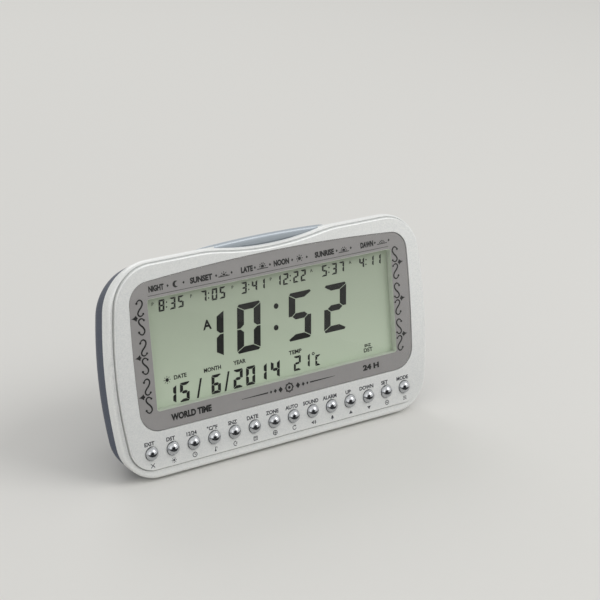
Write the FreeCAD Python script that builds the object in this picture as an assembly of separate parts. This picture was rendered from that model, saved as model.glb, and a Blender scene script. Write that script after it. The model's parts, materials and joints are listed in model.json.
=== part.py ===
import FreeCAD, Part
import math
import os

from FreeCAD import Vector

# Digital prayer-time table clock: a silver front frame around a printed display window, a row of
# domed keys below it, a wide snooze bar let into the top edge, and a dark rear housing that holds
# the loudspeaker and two AA cells behind a sliding door.
#
# Every piece is drawn upright in the face's own frame, in millimetres: X to the right, Y from the
# face towards the back, Z up, with zero at the face's front surface and the window's centre. At the
# end the whole clock is leaned back by LEAN and set down on its feet.

# --- case -----------------------------------------------------------------------------------------
CASE_WIDTH = 153.6
CASE_HEIGHT = 87.0
CASE_DEPTH = 44.0
LEAN = 8.0                  # the face leans back by this angle, degrees
SIDE_BOW = 4.5              # how far the sides bulge beyond their ends
LOW_CORNER = 16.0
HIGH_CORNER = 19.5
WALL = 2.2
FRAME_DEPTH = 7.0           # the front frame meets the rear housing here
PARTING_STEP = 0.25         # the housing is this much smaller all round, which draws the joint line
LIP_LENGTH = 1.6
LIP_WALL = 1.2
LIP_GAP = 0.1

# --- face: a raised plateau inside a lower, rounded rim -------------------------------------------
RIM_STEP = 1.2              # the plateau stands this far in front of the rim
RIM_ROUND = 2.0
RIM_DEPTH = 4.0             # the rim is straight up to here, and the top slopes down behind it
PLATEAU_SIDE = 2.0          # rim width beside, above and below the plateau
PLATEAU_TOP = 1.2
PLATEAU_FOOT = 4.2
PLATEAU_ROUND = 0.5
PLATEAU_LOW_CORNER = 11.0
PLATEAU_HIGH_CORNER = 17.0
GROOVE_WIDTH = 0.5          # a groove runs round the plateau's foot,
GROOVE_DEPTH = 1.2          # this deep below the rim's front
FACE_WALL = 3.6             # from the plateau's front to the inside of the face
DIP_DEPTH = 2.8             # hollow in the top edge in front of the snooze bar
DIP_MARGIN = 2.0            # it is this much longer than the bar at each end
DIP_SHOULDER = 0.3          # share of the hollow's half width taken by each rounded shoulder

# --- rear housing ---------------------------------------------------------------------------------
TOP_SLOPE = 18.0            # the top falls away behind the rim, degrees
TAPER_START = 11.5          # the sides start to close in here,
TAPER_ROUND = 8.0           # turn with this radius and run on straight to the back
TURN_STEPS = 4
BACK_ROUND = 6.0

# --- display window -------------------------------------------------------------------------------
LENS_SIDE = 9.5             # the face beside the lens
LENS_TOP = 5.4              # above it
KEY_BAND = 19.6             # and below it, where the keys are
SIDE_BAND = 8.3             # printed bands of the lens beside, above and below the window
HEADER_BAND = 9.2
FOOTER_BAND = 7.6
LENS_ARCH = 3.0
LENS_BOW = 1.0
LENS_HIGH_CORNER = 8.5
LENS_LOW_CORNER = 9.0
LENS_THICK = 1.6
LENS_RECESS = 0.1
LENS_GAP = 0.15
LENS_EDGE = 0.2
MASK_THICK = 0.25
WINDOW_CORNER = 1.2
WINDOW_MARGIN = 1.2         # the frame's cut-out is larger than the printed window by this

# --- liquid crystal display -----------------------------------------------------------------------
GLASS_SIDE = 4.0            # the glass is larger than the window by this at each side
GLASS_BORDER = 3.9          # and by this above and below
GLASS_LEDGE = 2.5           # the rear glass is shorter by this, which bares the contacts
GLASS_THICK = 1.1
POLARISER_THICK = 0.2
POLARISER_GAP = 0.5
GUIDE_THICK = 2.4
GUIDE_INSET = 0.5           # the light guide is this much inside the rear glass above and below
GUIDE_MARGIN = 0.5          # and this much larger than the window at each side
HOLDER_WALL = 1.8
HOLDER_BACK = 1.0
HOLDER_GAP = 0.2
ZEBRA_PLAY = 0.4
ZEBRA_END = 9.0             # glass beyond each end of a connector
LED_GAP = 0.2
LED_WIDTH = 2.4
LED_HEIGHT = 5.0

# --- boards ---------------------------------------------------------------------------------------
BOARD_THICK = 1.6
BOARD_INSET = 0.2           # the board is smaller than the holder by this all round
BOARD_CORNER = 5.0
EAR_MARGIN = 5.0            # from the ears' ends to the case's sides
EAR_HEIGHT = 7.0
BOARD_SCREW_SIDE = 7.8      # from the case's sides
BOARD_SCREW_STEP = 12.0     # from the case's screws towards the middle
BOARD_POST = 2.4
BOARD_SCREW = 0.85

# --- keys -----------------------------------------------------------------------------------------
KEY_COUNT = 14
KEY_ROW_END = 14.53         # from the case's sides to the end keys' centres
KEY_ROW_X = -1.0            # the row sits this far off the middle
KEY_ABOVE_FOOT = 11.3
KEY_RADIUS = 2.75
KEY_DOME = 2.3              # how far a cap stands out of the plateau
KEY_BARREL = 0.3            # straight part of it
KEY_GAP = 0.2
KEY_FLANGE = 3.6
KEY_FLANGE_THICK = 0.8
KEY_STEM = 1.6
KEY_STEM_LENGTH = 2.7
KEY_TRAVEL = 0.9            # then the pill under the dome touches the board
MAT_DOME_FOOT = 3.1
MAT_DOME_TOP = 2.3
MAT_SKIN = 0.5
MAT_SHEET = 0.8
MAT_HEIGHT = 9.4
MAT_CORNER = 4.5
MAT_END = 4.2               # sheet beyond the last key
PILL_RADIUS = 1.2
PILL_THICK = 0.5
KEY_BOARD_END = 4.2
KEY_BOARD_BELOW = 5.0
KEY_BOARD_ABOVE = 8.6
KEY_BOARD_SHOULDER = 3.5    # top of the full-width strip above the keys' centres
KEY_BOARD_CORNER = 6.0
KEY_BOARD_NECK = 16.8       # from the ends of the board's upper strip to the case's sides
KEY_POST_SIDE = 31.8        # from the outer posts to the case's sides
KEY_POST_RISE = 6.7         # from the keys' centres up to the posts
KEY_POST = 1.8
KEY_SCREW = 0.7

# --- snooze bar -----------------------------------------------------------------------------------
BAR_HALF = 32.0
BAR_DEPTH = 15.7
BAR_CORNER = 7.0
BAR_GAP = 0.3
BAR_RISE = 1.0              # the lines of the bar's top meet this far above the case's top
BAR_CREST_DEPTH = 4.7       # from the bar's front edge back to its crest
BAR_NOSE_DROP = 3.6         # from there down to its front edge
BAR_TAIL_DROP = 5.4         # to its rear edge
BAR_SKIRT = 7.2             # and to the foot of its skirt
BAR_CROWN = 1.9             # it falls this much towards its ends
BAR_WALL = 1.8
BAR_TRAVEL = 1.2
BAR_TRIM = -0.6             # inner features stay this far inside the bar's plan
HOOK_REACH = 1.7
HOOK_THICK = 1.2
HOOK_LENGTH = 3.0
HOOK_GAP = 0.05
PEG_INSET = 10.0            # from the bar's ends to its pegs
PEG_BEHIND = 3.0            # from the board's back to the pegs' centres
PEG_RADIUS = 1.5
PEG_GAP = 0.06
PEG_BELOW = 3.5             # the pegs reach this far below the tops of their shelves
SHELF_DROP = 8.5            # from the skirt's foot down to the shelves
SHELF_THICK = 2.5
SHELF_HALF = 4.0
SHELF_GAP = 0.5
SHELF_WEB = 2.0             # thickness of the gusset under each shelf
GUSSET_HEIGHT = 12.0
PEG_BOSS = 2.9
PEG_BOSS_DROP = 0.8         # from the skirt's foot down to the bosses that the springs push
SNOOZE_SPRING = 2.5
SNOOZE_WIRE = 0.4
SNOOZE_TURNS = 5
COIL_SECTIONS = 16          # to each turn of a spring
SWITCH_WIDTH = 6.0
SWITCH_DEPTH = 4.0
SWITCH_HEIGHT = 5.0
SWITCH_DROP = 5.0           # from the skirt's foot down to the switch
RIB_RADIUS = 1.6            # the bar's rib that presses the switch
PLUNGER_RADIUS = 1.0
PLUNGER_GAP = 0.05
PLUNGER_LENGTH = 2.8
PLUNGER_STAND = 1.3         # the plunger stands this far out of its switch

# --- fasteners ------------------------------------------------------------------------------------
CASE_SCREW_SIDE = 8.3       # from the case's sides, top and foot to the screws
CASE_SCREW_TOP = 17.2
CASE_SCREW_FOOT = 19.8
CASE_POST = 3.0
CASE_BOSS = 4.2
CASE_SCREW = 1.25
CASE_BORE = 1.7
CASE_SEAT = 14.0            # depth of the shoulder under the screw's head
CASE_HEAD = 2.7
CASE_HEAD_THICK = 1.9
WELL_RADIUS = 3.1
SCREW_GAP = 0.02
SCREW_PLAY = 0.2
SCREW_TIP = 0.3
BOARD_HOLE = 1.1
BOARD_HEAD = 1.7
BOARD_HEAD_THICK = 1.2
KEY_HOLE = 0.95
KEY_HEAD = 1.4
KEY_HEAD_THICK = 1.0
SLOT_DEPTH = 0.6
HEAD_ROUND = 1 / 3          # share of a head's thickness rounded at its edge
SLOT_WIDTH = 0.7
SLOT_REACH = 0.6            # half length of the slots as a share of the head's radius
PILOT_SPARE = 0.6           # a pilot hole goes this much deeper than its screw

# --- cells, tray and door -------------------------------------------------------------------------
CELL_RADIUS = 7.1
CELL_BODY = 49.3
CELL_NUB = 1.2
CELL_NUB_RADIUS = 2.7
CELL_GAP = 0.6
CELL_SPRING = 5.0
CELL_EDGE = 0.6
CELL_WIRE = 0.4
CELL_COIL = 3.4
CELL_TURNS = 3
PLATE_THICK = 0.4
PLATE_WIDTH = 10.0
PLATE_GAP = 0.2
LUG_WIDTH = 3.0
LUG_LENGTH = 3.25           # the lugs stand this far out of the tray's floor
TRAY_X = -21.0
TRAY_ABOVE_FOOT = 36.8
TRAY_WALL = 1.5
TRAY_PLAY = 0.3
DOOR_THICK = 1.8
DOOR_GAP = 0.15
DOOR_TONGUE = 1.3
DOOR_TONGUE_THICK = 0.8
DOOR_RAIL = 1.4             # wall beyond the tongues' grooves
DOOR_OVERLAP = 1.6          # the door covers the tray's opening by this much
DOOR_PAD = 4.0
GRIP_COUNT = 5
GRIP_OFFSET = 23.0          # from the tray's centre to the left
GRIP_PITCH = 2.2
GRIP_WIDTH = 1.0
GRIP_LENGTH = 14.0
GRIP_HIGH = 0.5

# --- loudspeaker ----------------------------------------------------------------------------------
SPEAKER_RADIUS = 18.0
SPEAKER_TRAY_GAP = 2.7      # from the door's rail to the speaker
SPEAKER_SIDE_GAP = 2.1      # from the speaker to the housing's right side
SPEAKER_RIM = 1.2           # gasket between the speaker and the back wall
SPEAKER_SHEET = 0.8
BASKET_DEPTH = 8.5
MAGNET_DEPTH = 6.0
CONE_DEPTH = 5.5
CONE_THICK = 0.5
CONE_PLAY = 0.9             # from the pan's mouth to the cone's edge
CLIP_REACH = 3.4            # the clips' screws stand this far outside the speaker
CLIP_ANGLES = (90.0, 210.0, 330.0)
CLIP_BOSS = 2.2
CLIP_THICK = 0.8
CLIP_WIDTH = 5.0
CLIP_LENGTH = 7.6
CLIP_SCREW = 0.8
CLIP_SCREW_LENGTH = 2.4
CLIP_HEAD = 1.6
CLIP_HEAD_THICK = 1.1
SPEAKER_LEDGE = 1.8         # width of the flange
STRIP_AHEAD = 6.8           # the lead strip stands this far in front of the flange
STRIP_MARGIN = 1.5          # and ends this far inside the speaker's edge
GRILLE_PITCH = 3.2
GRILLE_WIDTH = 1.5
GRILLE_MARGIN = 3.5         # the field of slots is smaller than the speaker by this
# A loudspeaker's parts keep these shares of its radius.
BASKET_SHARE = 10 / 18      # foot of the pan
MAGNET_SHARE = 1 / 2
POLE_SHARE = 2 / 9
CAP_SHARE = 1 / 3           # dust cap,
CAP_RISE = 1 / 9            # and how far it stands out of the cone
STRIP_SHARE = 2 / 9         # half width of the lead strip

# --- small parts on the main board ----------------------------------------------------------------
BLOB_X = -14.0
BLOB_Z = -4.0
BLOB_RADIUS = 7.5
BLOB_HIGH = 2.0
CRYSTAL_X = 6.0
CRYSTAL_Z = -14.0
CRYSTAL_RADIUS = 1.0
CRYSTAL_LENGTH = 6.0
CRYSTAL_ROUND = 1 / 3       # share of its radius rounded at each end
CAPACITOR_SIDE = (-1.5, 6.0)    # from the speaker's centre
CAPACITOR_RISE = 25.0
CAPACITOR_RADIUS = 2.5
CAPACITOR_ROUND = 1 / 6     # share of its radius rounded at the top
CAPACITOR_HIGH = 7.0
SENSOR_SIDE = 14.8          # from the board's right edge
SENSOR_RISE = 8.3           # from its lower edge
SENSOR_RADIUS = 1.3
SENSOR_LEAD = 0.25
SENSOR_LEAD_LENGTH = 6.0
SENSOR_LEAD_GAP = 0.6
RIBBON_X = -36.0
RIBBON_WIDTH = 12.0
RIBBON_THICK = 0.3
RIBBON_REACH = 3.0
RIBBON_RISE = 5.9           # from the keys' centres up to its lower end
RIBBON_INSET = 3.0          # from the main board's lower edge up to its other end

# --- leads ----------------------------------------------------------------------------------------
LEAD_RADIUS = 0.6
LEAD_DRIFT = 4.0
LEAD_SPREAD = 1.5
LEAD_BEND = 0.45            # share of the shorter run that a bend takes
LEAD_RUNS = 3               # a lead drops, drifts and drops again in equal steps

# --- feet -----------------------------------------------------------------------------------------
FOOT_RADIUS = 4.5
FOOT_HEIGHT = 1.8
FOOT_SUNK = 0.6
FOOT_GAP = 0.1
FOOT_EDGE = 0.4
FOOT_SIDE = (26.8, 40.8)    # front pair and rear pair, from the case's sides
FOOT_FRONT = 15.5           # depth of the front pair
FOOT_REAR = 10.0            # the rear pair stands this far in front of the back

# --- worked out from the sizes above --------------------------------------------------------------
HALF = CASE_WIDTH / 2
LENS_WIDTH = CASE_WIDTH - 2 * LENS_SIDE
WINDOW_WIDTH = LENS_WIDTH - 2 * SIDE_BAND
WINDOW_HEIGHT = CASE_HEIGHT - LENS_TOP - HEADER_BAND - FOOTER_BAND - KEY_BAND
LENS_ABOVE = WINDOW_HEIGHT / 2 + HEADER_BAND
LENS_BELOW = WINDOW_HEIGHT / 2 + FOOTER_BAND
FACE_LOW = -LENS_BELOW - KEY_BAND
FACE_HIGH = LENS_ABOVE + LENS_TOP
LEAN_RISE = math.tan(math.radians(LEAN))
TOP_FALL = math.tan(math.radians(TOP_SLOPE))
CELL_LENGTH = CELL_BODY + CELL_NUB
TRAY_HALF_LENGTH = (CELL_LENGTH + CELL_SPRING + 2 * PLATE_THICK) / 2
TRAY_HALF_HEIGHT = (4 * CELL_RADIUS + CELL_GAP) / 2 + TRAY_PLAY
TRAY_Z = FACE_LOW + TRAY_ABOVE_FOOT
RAIL_END = TRAY_X + TRAY_HALF_LENGTH + DOOR_OVERLAP + DOOR_GAP + DOOR_RAIL
SPEAKER_X = RAIL_END + SPEAKER_TRAY_GAP + SPEAKER_RADIUS
SPEAKER_Z = TRAY_Z
SIDE_INSIDE = SPEAKER_X + SPEAKER_RADIUS + SPEAKER_SIDE_GAP
# the back is as wide as the tray and the speaker need
TAPER_REACH = HALF - PARTING_STEP - WALL - SIDE_INSIDE
TAPER_RUN = CASE_DEPTH - TAPER_START
TAPER_SPARE = TAPER_REACH - 2 * TAPER_ROUND
# tangent of half the taper's angle, for an arc and a straight run that reach TAPER_REACH together;
# it also keeps a wall's thickness round the turn
TAPER_SHIFT = (math.sqrt(TAPER_RUN**2 + TAPER_REACH * TAPER_SPARE) - TAPER_RUN) / TAPER_SPARE
TAPER_ANGLE = 2 * math.atan(TAPER_SHIFT)
TURN_LENGTH = TAPER_ROUND * math.sin(TAPER_ANGLE)
POCKET_FLOOR = LENS_RECESS + LENS_THICK + MASK_THICK
GLASS_WIDTH = WINDOW_WIDTH + 2 * GLASS_SIDE
FRONT_GLASS_HEIGHT = WINDOW_HEIGHT + 2 * GLASS_BORDER
REAR_GLASS_HEIGHT = FRONT_GLASS_HEIGHT - 2 * GLASS_LEDGE
GUIDE_WIDTH = WINDOW_WIDTH + 2 * GUIDE_MARGIN
GUIDE_HEIGHT = REAR_GLASS_HEIGHT - 2 * GUIDE_INSET
ZEBRA_WIDTH = GLASS_LEDGE + HOLDER_GAP - 2 * ZEBRA_PLAY
ZEBRA_LENGTH = GLASS_WIDTH - 2 * ZEBRA_END
BOARD_HALF_WIDTH = GLASS_WIDTH / 2 + HOLDER_GAP + HOLDER_WALL - BOARD_INSET
BOARD_HALF_HEIGHT = FRONT_GLASS_HEIGHT / 2 + HOLDER_GAP + HOLDER_WALL - BOARD_INSET
REAR_GLASS_Y = FACE_WALL + GLASS_THICK
REAR_POLARISER_Y = REAR_GLASS_Y + GLASS_THICK
GUIDE_Y = REAR_POLARISER_Y + POLARISER_THICK
HOLDER_Y = GUIDE_Y + GUIDE_THICK
BOARD_Y = HOLDER_Y + HOLDER_BACK
BOARD_BACK = BOARD_Y + BOARD_THICK
MAT_TOP_Y = FACE_WALL + KEY_FLANGE_THICK + KEY_STEM_LENGTH
MAT_DOME_HIGH = KEY_TRAVEL + PILL_THICK + MAT_SKIN - MAT_SHEET
MAT_SHEET_Y = MAT_TOP_Y + MAT_DOME_HIGH
KEY_BOARD_Y = MAT_SHEET_Y + MAT_SHEET
KEY_BOARD_BACK = KEY_BOARD_Y + BOARD_THICK
KEY_ROW_HALF = HALF - KEY_ROW_END
KEY_PITCH = 2 * KEY_ROW_HALF / (KEY_COUNT - 1)
KEY_ROW_Z = FACE_LOW + KEY_ABOVE_FOOT
KEY_POST_X = (KEY_POST_SIDE - HALF, 0.0, HALF - KEY_POST_SIDE)
KEY_POST_Z = KEY_ROW_Z + KEY_POST_RISE
DIP_HALF = BAR_HALF + DIP_MARGIN
BAR_CREST = FACE_HIGH + BAR_RISE
BAR_NOSE = BAR_CREST - BAR_NOSE_DROP
BAR_TAIL = BAR_CREST - BAR_TAIL_DROP
BAR_FOOT = BAR_CREST - BAR_SKIRT
PEG_X = BAR_HALF - PEG_INSET
PEG_Y = BOARD_BACK + PEG_BEHIND
SHELF_TOP = BAR_FOOT - SHELF_DROP
PEG_FOOT = SHELF_TOP - PEG_BELOW
PEG_BOSS_FOOT = BAR_FOOT - PEG_BOSS_DROP
SWITCH_TOP = BAR_FOOT - SWITCH_DROP
BAR_FRONT = RIM_DEPTH + BAR_GAP
SWITCH_MIDDLE = BOARD_BACK + SWITCH_DEPTH / 2
BACK_INSIDE = CASE_DEPTH - WALL
DOOR_Y = CASE_DEPTH - DOOR_THICK
FLANGE_Y = BACK_INSIDE - SPEAKER_RIM - SPEAKER_SHEET
CELL_Y = DOOR_Y - DOOR_GAP - TRAY_PLAY - CELL_RADIUS
TRAY_FLOOR = CELL_Y - CELL_RADIUS - TRAY_PLAY
LUG_Y = TRAY_FLOOR - LUG_LENGTH
BASKET_FOOT = BASKET_SHARE * SPEAKER_RADIUS
PAN_MOUTH = SPEAKER_RADIUS - SPEAKER_LEDGE
CONE_EDGE = PAN_MOUTH - SPEAKER_SHEET - CONE_PLAY
CAP_RADIUS = CAP_SHARE * SPEAKER_RADIUS
POLE_RADIUS = POLE_SHARE * SPEAKER_RADIUS
CLIP_RING = SPEAKER_RADIUS + CLIP_REACH
GRILLE_RADIUS = SPEAKER_RADIUS - GRILLE_MARGIN
GRILLE_STEPS = math.floor((GRILLE_RADIUS - GRILLE_WIDTH / 2) / GRILLE_PITCH)
STRIP_Y = FLANGE_Y - STRIP_AHEAD
STRIP_HALF = STRIP_SHARE * SPEAKER_RADIUS
STRIP_TOP = SPEAKER_RADIUS - STRIP_MARGIN
BEYOND = 5.0                # how far a cutting tool runs past what it cuts
PAST = 1.0                  # the same where there is less room, and the overlap of joined shapes


# --- outlines -------------------------------------------------------------------------------------
def at(point, depth):
    """A point of an outline, given as (x, z), at a depth behind the face."""
    return Vector(point[0], depth, point[1])


def mirrored(point):
    return (-point[0], point[1])


def outline_wire(right, depth):
    """A closed, left-right symmetric wire. The right half is a list of steps that starts with the lowest
    point; each later step is (end,) for a straight run or (middle, end) for an arc."""
    start = right[0][-1]
    left, ends = [], [step[-1] for step in right]
    for i in range(len(right) - 1, 0, -1):
        middle = [mirrored(p) for p in right[i][:-1]]
        left.append((*middle, mirrored(ends[i - 1])))
    steps = list(right[1:])
    if ends[-1][0] > 1e-6:
        steps.append((mirrored(ends[-1]),))
    steps += left
    edges, here = [], start
    for step in steps:
        end = step[-1]
        if len(step) == 1:
            edges.append(Part.LineSegment(at(here, depth), at(end, depth)).toShape())
        else:
            edges.append(Part.Arc(at(here, depth), at(step[0], depth), at(end, depth)).toShape())
        here = end
    if abs(start[0]) > 1e-6:
        edges.append(Part.LineSegment(at(here, depth), at(start, depth)).toShape())
    return Part.Wire(edges)


def on_circle(centre, radius, towards):
    """The point at a radius from a centre, in the direction of another point."""
    dx, dz = towards[0] - centre[0], towards[1] - centre[1]
    length = math.hypot(dx, dz)
    return (centre[0] + dx * radius / length, centre[1] + dz * radius / length)


def between(centre, radius, a, b):
    """The middle of the short arc from a to b about a centre."""
    ua, ub = on_circle(centre, 1, a), on_circle(centre, 1, b)
    return on_circle(centre, radius, (ua[0] + ub[0] - centre[0], ua[1] + ub[1] - centre[1]))


def bow_radius(chord, bow):
    return chord * chord / (8 * bow) + bow / 2


def case_outline(half, low, high, low_corner, high_corner, depth, dip=0.0):
    """Bowed sides, round corners, straight foot and a straight top with an optional shallow hollow."""
    middle = (low + high) / 2
    side = bow_radius(high - low, SIDE_BOW)
    centre = (half - side, middle)

    def corner(radius, level, inwards):
        z = level + inwards * radius
        x = centre[0] + math.sqrt((side - radius) ** 2 - (z - middle) ** 2)
        on_edge = (x, level)
        on_side = on_circle(centre, side, (x, z))
        return (x, z), on_edge, on_side

    c1, foot, side_low = corner(low_corner, low, 1)
    c2, brow, side_high = corner(high_corner, high, -1)
    right = [
        (foot,),
        (between(c1, low_corner, foot, side_low), side_low),
        ((half, middle), side_high),
        (between(c2, high_corner, side_high, brow), brow),
    ]
    if dip:
        turn = 2 * math.atan(dip / DIP_HALF)
        shoulder = DIP_SHOULDER * DIP_HALF / math.sin(turn)
        hollow = (1 - DIP_SHOULDER) * DIP_HALF / math.sin(turn)
        join = (DIP_HALF - shoulder * math.sin(turn), high - shoulder * (1 - math.cos(turn)))
        knee = (DIP_HALF - shoulder * math.sin(turn / 2), high - shoulder * (1 - math.cos(turn / 2)))
        belly = (hollow * math.sin(turn / 2), high - dip + hollow * (1 - math.cos(turn / 2)))
        right += [((DIP_HALF, high),), (knee, join), (belly, (0.0, high - dip))]
    return outline_wire(right, depth)


def lens_outline(grow, depth):
    """The arched window pane's outline, grown all round by a distance."""
    half = LENS_WIDTH / 2 + grow
    low, high = -LENS_BELOW - grow, LENS_ABOVE + grow
    low_corner, high_corner = LENS_LOW_CORNER + grow, LENS_HIGH_CORNER + grow
    middle = (low + high) / 2
    side = bow_radius(high - low, LENS_BOW)
    arch = bow_radius(2 * half, LENS_ARCH)
    side_centre, arch_centre = (half - side, middle), (0.0, high - arch)
    z = low + low_corner
    c1 = (side_centre[0] + math.sqrt((side - low_corner) ** 2 - (z - middle) ** 2), z)
    foot, side_low = (c1[0], low), on_circle(side_centre, side, c1)
    # the upper corner's centre lies at a corner radius inside both the side's and the arch's circle
    ra, rb = side - high_corner, arch - high_corner
    dx, dz = arch_centre[0] - side_centre[0], arch_centre[1] - side_centre[1]
    d = math.hypot(dx, dz)
    a = (ra * ra - rb * rb + d * d) / (2 * d)
    h = math.sqrt(ra * ra - a * a)
    options = [
        (side_centre[0] + (a * dx + s * h * dz) / d, side_centre[1] + (a * dz - s * h * dx) / d)
        for s in (1, -1)
    ]
    c2 = max(options, key=lambda p: p[0] + p[1])
    side_high, brow = on_circle(side_centre, side, c2), on_circle(arch_centre, arch, c2)
    right = [
        (foot,),
        (between(c1, low_corner, foot, side_low), side_low),
        ((half, middle), side_high),
        (between(c2, high_corner, side_high, brow), brow),
        (between(arch_centre, arch, brow, (0.0, high)), (0.0, high)),
    ]
    return outline_wire(right, depth)


def closing(depth):
    """How far each side has closed in at a depth: none, then an arc, then a straight taper."""
    run = depth - TAPER_START
    if run <= 0:
        return 0.0
    if run <= TURN_LENGTH:
        return TAPER_ROUND - math.sqrt(TAPER_ROUND**2 - run**2)
    turned_in = TAPER_ROUND * (1 - math.cos(TAPER_ANGLE))
    return turned_in + (run - TURN_LENGTH) * math.tan(TAPER_ANGLE)


def case_section(depth, inset=0.0):
    """The case's outline at a depth behind the rim, with the top falling away, the sides closing in and
    the foot rising, so that it lies level once the clock leans back."""
    back = max(0.0, depth - RIM_DEPTH)
    half = HALF - closing(depth) - inset
    low = FACE_LOW + back * LEAN_RISE + inset
    high = FACE_HIGH - back * TOP_FALL - inset
    return half, low, high, LOW_CORNER - inset, HIGH_CORNER - inset


# --- solids from outlines -------------------------------------------------------------------------
def prism(wire, length):
    """A solid that runs back from a wire by a length."""
    return Part.Face(wire).extrude(Vector(0, length, 0))


def block(x0, x1, y0, y1, z0, z1):
    return Part.makeBox(x1 - x0, y1 - y0, z1 - z0, Vector(x0, y0, z0))


def rod(x, z, y0, y1, radius):
    """A cylinder along the depth."""
    return Part.makeCylinder(radius, y1 - y0, Vector(x, y0, z), Vector(0, 1, 0))


def post(x, y, z0, z1, radius):
    """A cylinder along the height."""
    return Part.makeCylinder(radius, z1 - z0, Vector(x, y, z0), Vector(0, 0, 1))


def joined(shapes):
    return shapes[0].multiFuse(shapes[1:]).removeSplitter()


def rounded(solid, radius, chosen):
    """Rounds the edges for which chosen(edge) is true."""
    return solid.makeFillet(radius, [e for e in solid.Edges if chosen(e)])


def at_depth(depth):
    """Chooses the edges that lie wholly at a depth."""
    return lambda e: abs(e.BoundBox.YMin - depth) < 1e-4 and abs(e.BoundBox.YMax - depth) < 1e-4


def coil(wire_radius, mean_radius, height, turns):
    """A spring along +Z from zero to its height, ruled between round sections set along its helix."""
    rise = height - 2 * wire_radius
    climb = math.atan2(rise / turns, 2 * math.pi * mean_radius)
    tilt = FreeCAD.Rotation(Vector(1, 0, 0), math.degrees(climb))
    ring = Part.makeCircle(wire_radius, Vector(), Vector(0, 1, 0))
    sections = []
    for i in range(turns * COIL_SECTIONS + 1):
        turn = FreeCAD.Rotation(Vector(0, 0, 1), 360 * i / COIL_SECTIONS)
        level = wire_radius + rise * i / (turns * COIL_SECTIONS)
        centre = turn.multVec(Vector(mean_radius, 0, 0)) + Vector(0, 0, level)
        section = ring.copy()
        section.Placement = FreeCAD.Placement(centre, turn.multiply(tilt))
        sections.append(section)
    faces = [Part.makeRuledSurface(a, b) for a, b in zip(sections, sections[1:])]
    faces += [Part.Face(Part.Wire(end)) for end in (sections[0], sections[-1])]
    shell = Part.makeShell(faces)
    shell.sewShape()
    return Part.makeSolid(shell)


def lead(points):
    """A round insulated wire along straight runs joined by arcs as large as the runs allow."""
    nodes = [Vector(*p) for p in points]
    edges, here = [], nodes[0]
    for before, node, after in zip(nodes, nodes[1:], nodes[2:]):
        a, b = (before - node), (after - node)
        turn = math.pi - a.getAngle(b)
        reach = LEAD_BEND * min(a.Length, b.Length)
        radius = reach / math.tan(turn / 2)
        a.normalize()
        b.normalize()
        start, end = node + a * reach, node + b * reach
        inward = (a + b).normalize()
        middle = node + inward * (radius / math.cos(turn / 2) - radius)
        edges.append(Part.LineSegment(here, start).toShape())
        edges.append(Part.Arc(start, middle, end).toShape())
        here = end
    edges.append(Part.LineSegment(here, nodes[-1]).toShape())
    path = Part.Wire(edges)
    circle = Part.Wire(Part.makeCircle(LEAD_RADIUS, nodes[0], nodes[1] - nodes[0]))
    return path.makePipeShell([circle], True, False)


def key_places():
    return [KEY_ROW_X - KEY_ROW_HALF + i * KEY_PITCH for i in range(KEY_COUNT)]


def window_block(grow, y0, y1):
    """A round-cornered block over the display window, grown all round by a distance."""
    half, high = WINDOW_WIDTH / 2 + grow, WINDOW_HEIGHT / 2 + grow
    solid = block(-half, half, y0, y1, -high, high)
    corners = [e for e in solid.Edges if e.BoundBox.YLength > (y1 - y0) / 2]
    return solid.makeFillet(WINDOW_CORNER, corners)


# --- the snooze bar's place -----------------------------------------------------------------------
def bar_plan(grow, z0, z1):
    """The bar's shape seen from above, grown all round, as a block from z0 to z1."""
    solid = block(
        -BAR_HALF - grow, BAR_HALF + grow, BAR_FRONT - grow, BAR_FRONT + BAR_DEPTH + grow, z0, z1
    )
    corners = [e for e in solid.Edges if e.BoundBox.ZLength > (z1 - z0) / 2]
    return solid.makeFillet(BAR_CORNER + grow, corners)


def bar_shell(drop, grow):
    """A block under the bar's crowned top, lowered by drop, cut to its plan grown by grow."""
    front, back = BAR_FRONT - BEYOND, BAR_FRONT + BAR_DEPTH + BEYOND
    nose, crest, tail = BAR_NOSE - drop, BAR_CREST - drop, BAR_TAIL - drop
    crest_y = BAR_FRONT + BAR_CREST_DEPTH
    rise = (crest - nose) / BAR_CREST_DEPTH
    fall = (crest - tail) / (BAR_DEPTH - BAR_CREST_DEPTH)
    low = min(nose, tail) - 2 * BEYOND
    points = [
        Vector(0, front, nose - rise * BEYOND),
        Vector(0, crest_y, crest),
        Vector(0, back, tail - fall * BEYOND),
        Vector(0, back, low),
        Vector(0, front, low),
    ]
    side = Part.Face(Part.makePolygon(points + points[:1]))
    ridge = side.extrude(Vector(2 * BAR_HALF + 2 * BEYOND, 0, 0))
    ridge.translate(Vector(-BAR_HALF - BEYOND, 0, 0))
    ridge = rounded(
        ridge,
        BAR_CREST_DEPTH,
        lambda e: abs(e.BoundBox.ZMin - crest) < 1e-3 and abs(e.BoundBox.ZMax - crest) < 1e-3,
    )
    crown = bow_radius(2 * BAR_HALF, BAR_CROWN)
    arch = Part.makeCylinder(
        crown, back - front, Vector(0, front, crest - crown), Vector(0, 1, 0)
    )
    plan = bar_plan(grow, low + BEYOND, crest + BEYOND)
    return plan.common(ridge).common(arch)


# --- front frame ----------------------------------------------------------------------------------
def plateau_block(grow, length):
    """The plateau as a block that runs back from the face, grown all round by a distance."""
    wire = case_outline(
        HALF - PLATEAU_SIDE + grow,
        FACE_LOW + PLATEAU_FOOT - grow,
        FACE_HIGH - PLATEAU_TOP + grow,
        PLATEAU_LOW_CORNER + grow,
        PLATEAU_HIGH_CORNER + grow,
        0.0,
        DIP_DEPTH,
    )
    return prism(wire, length)


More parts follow.
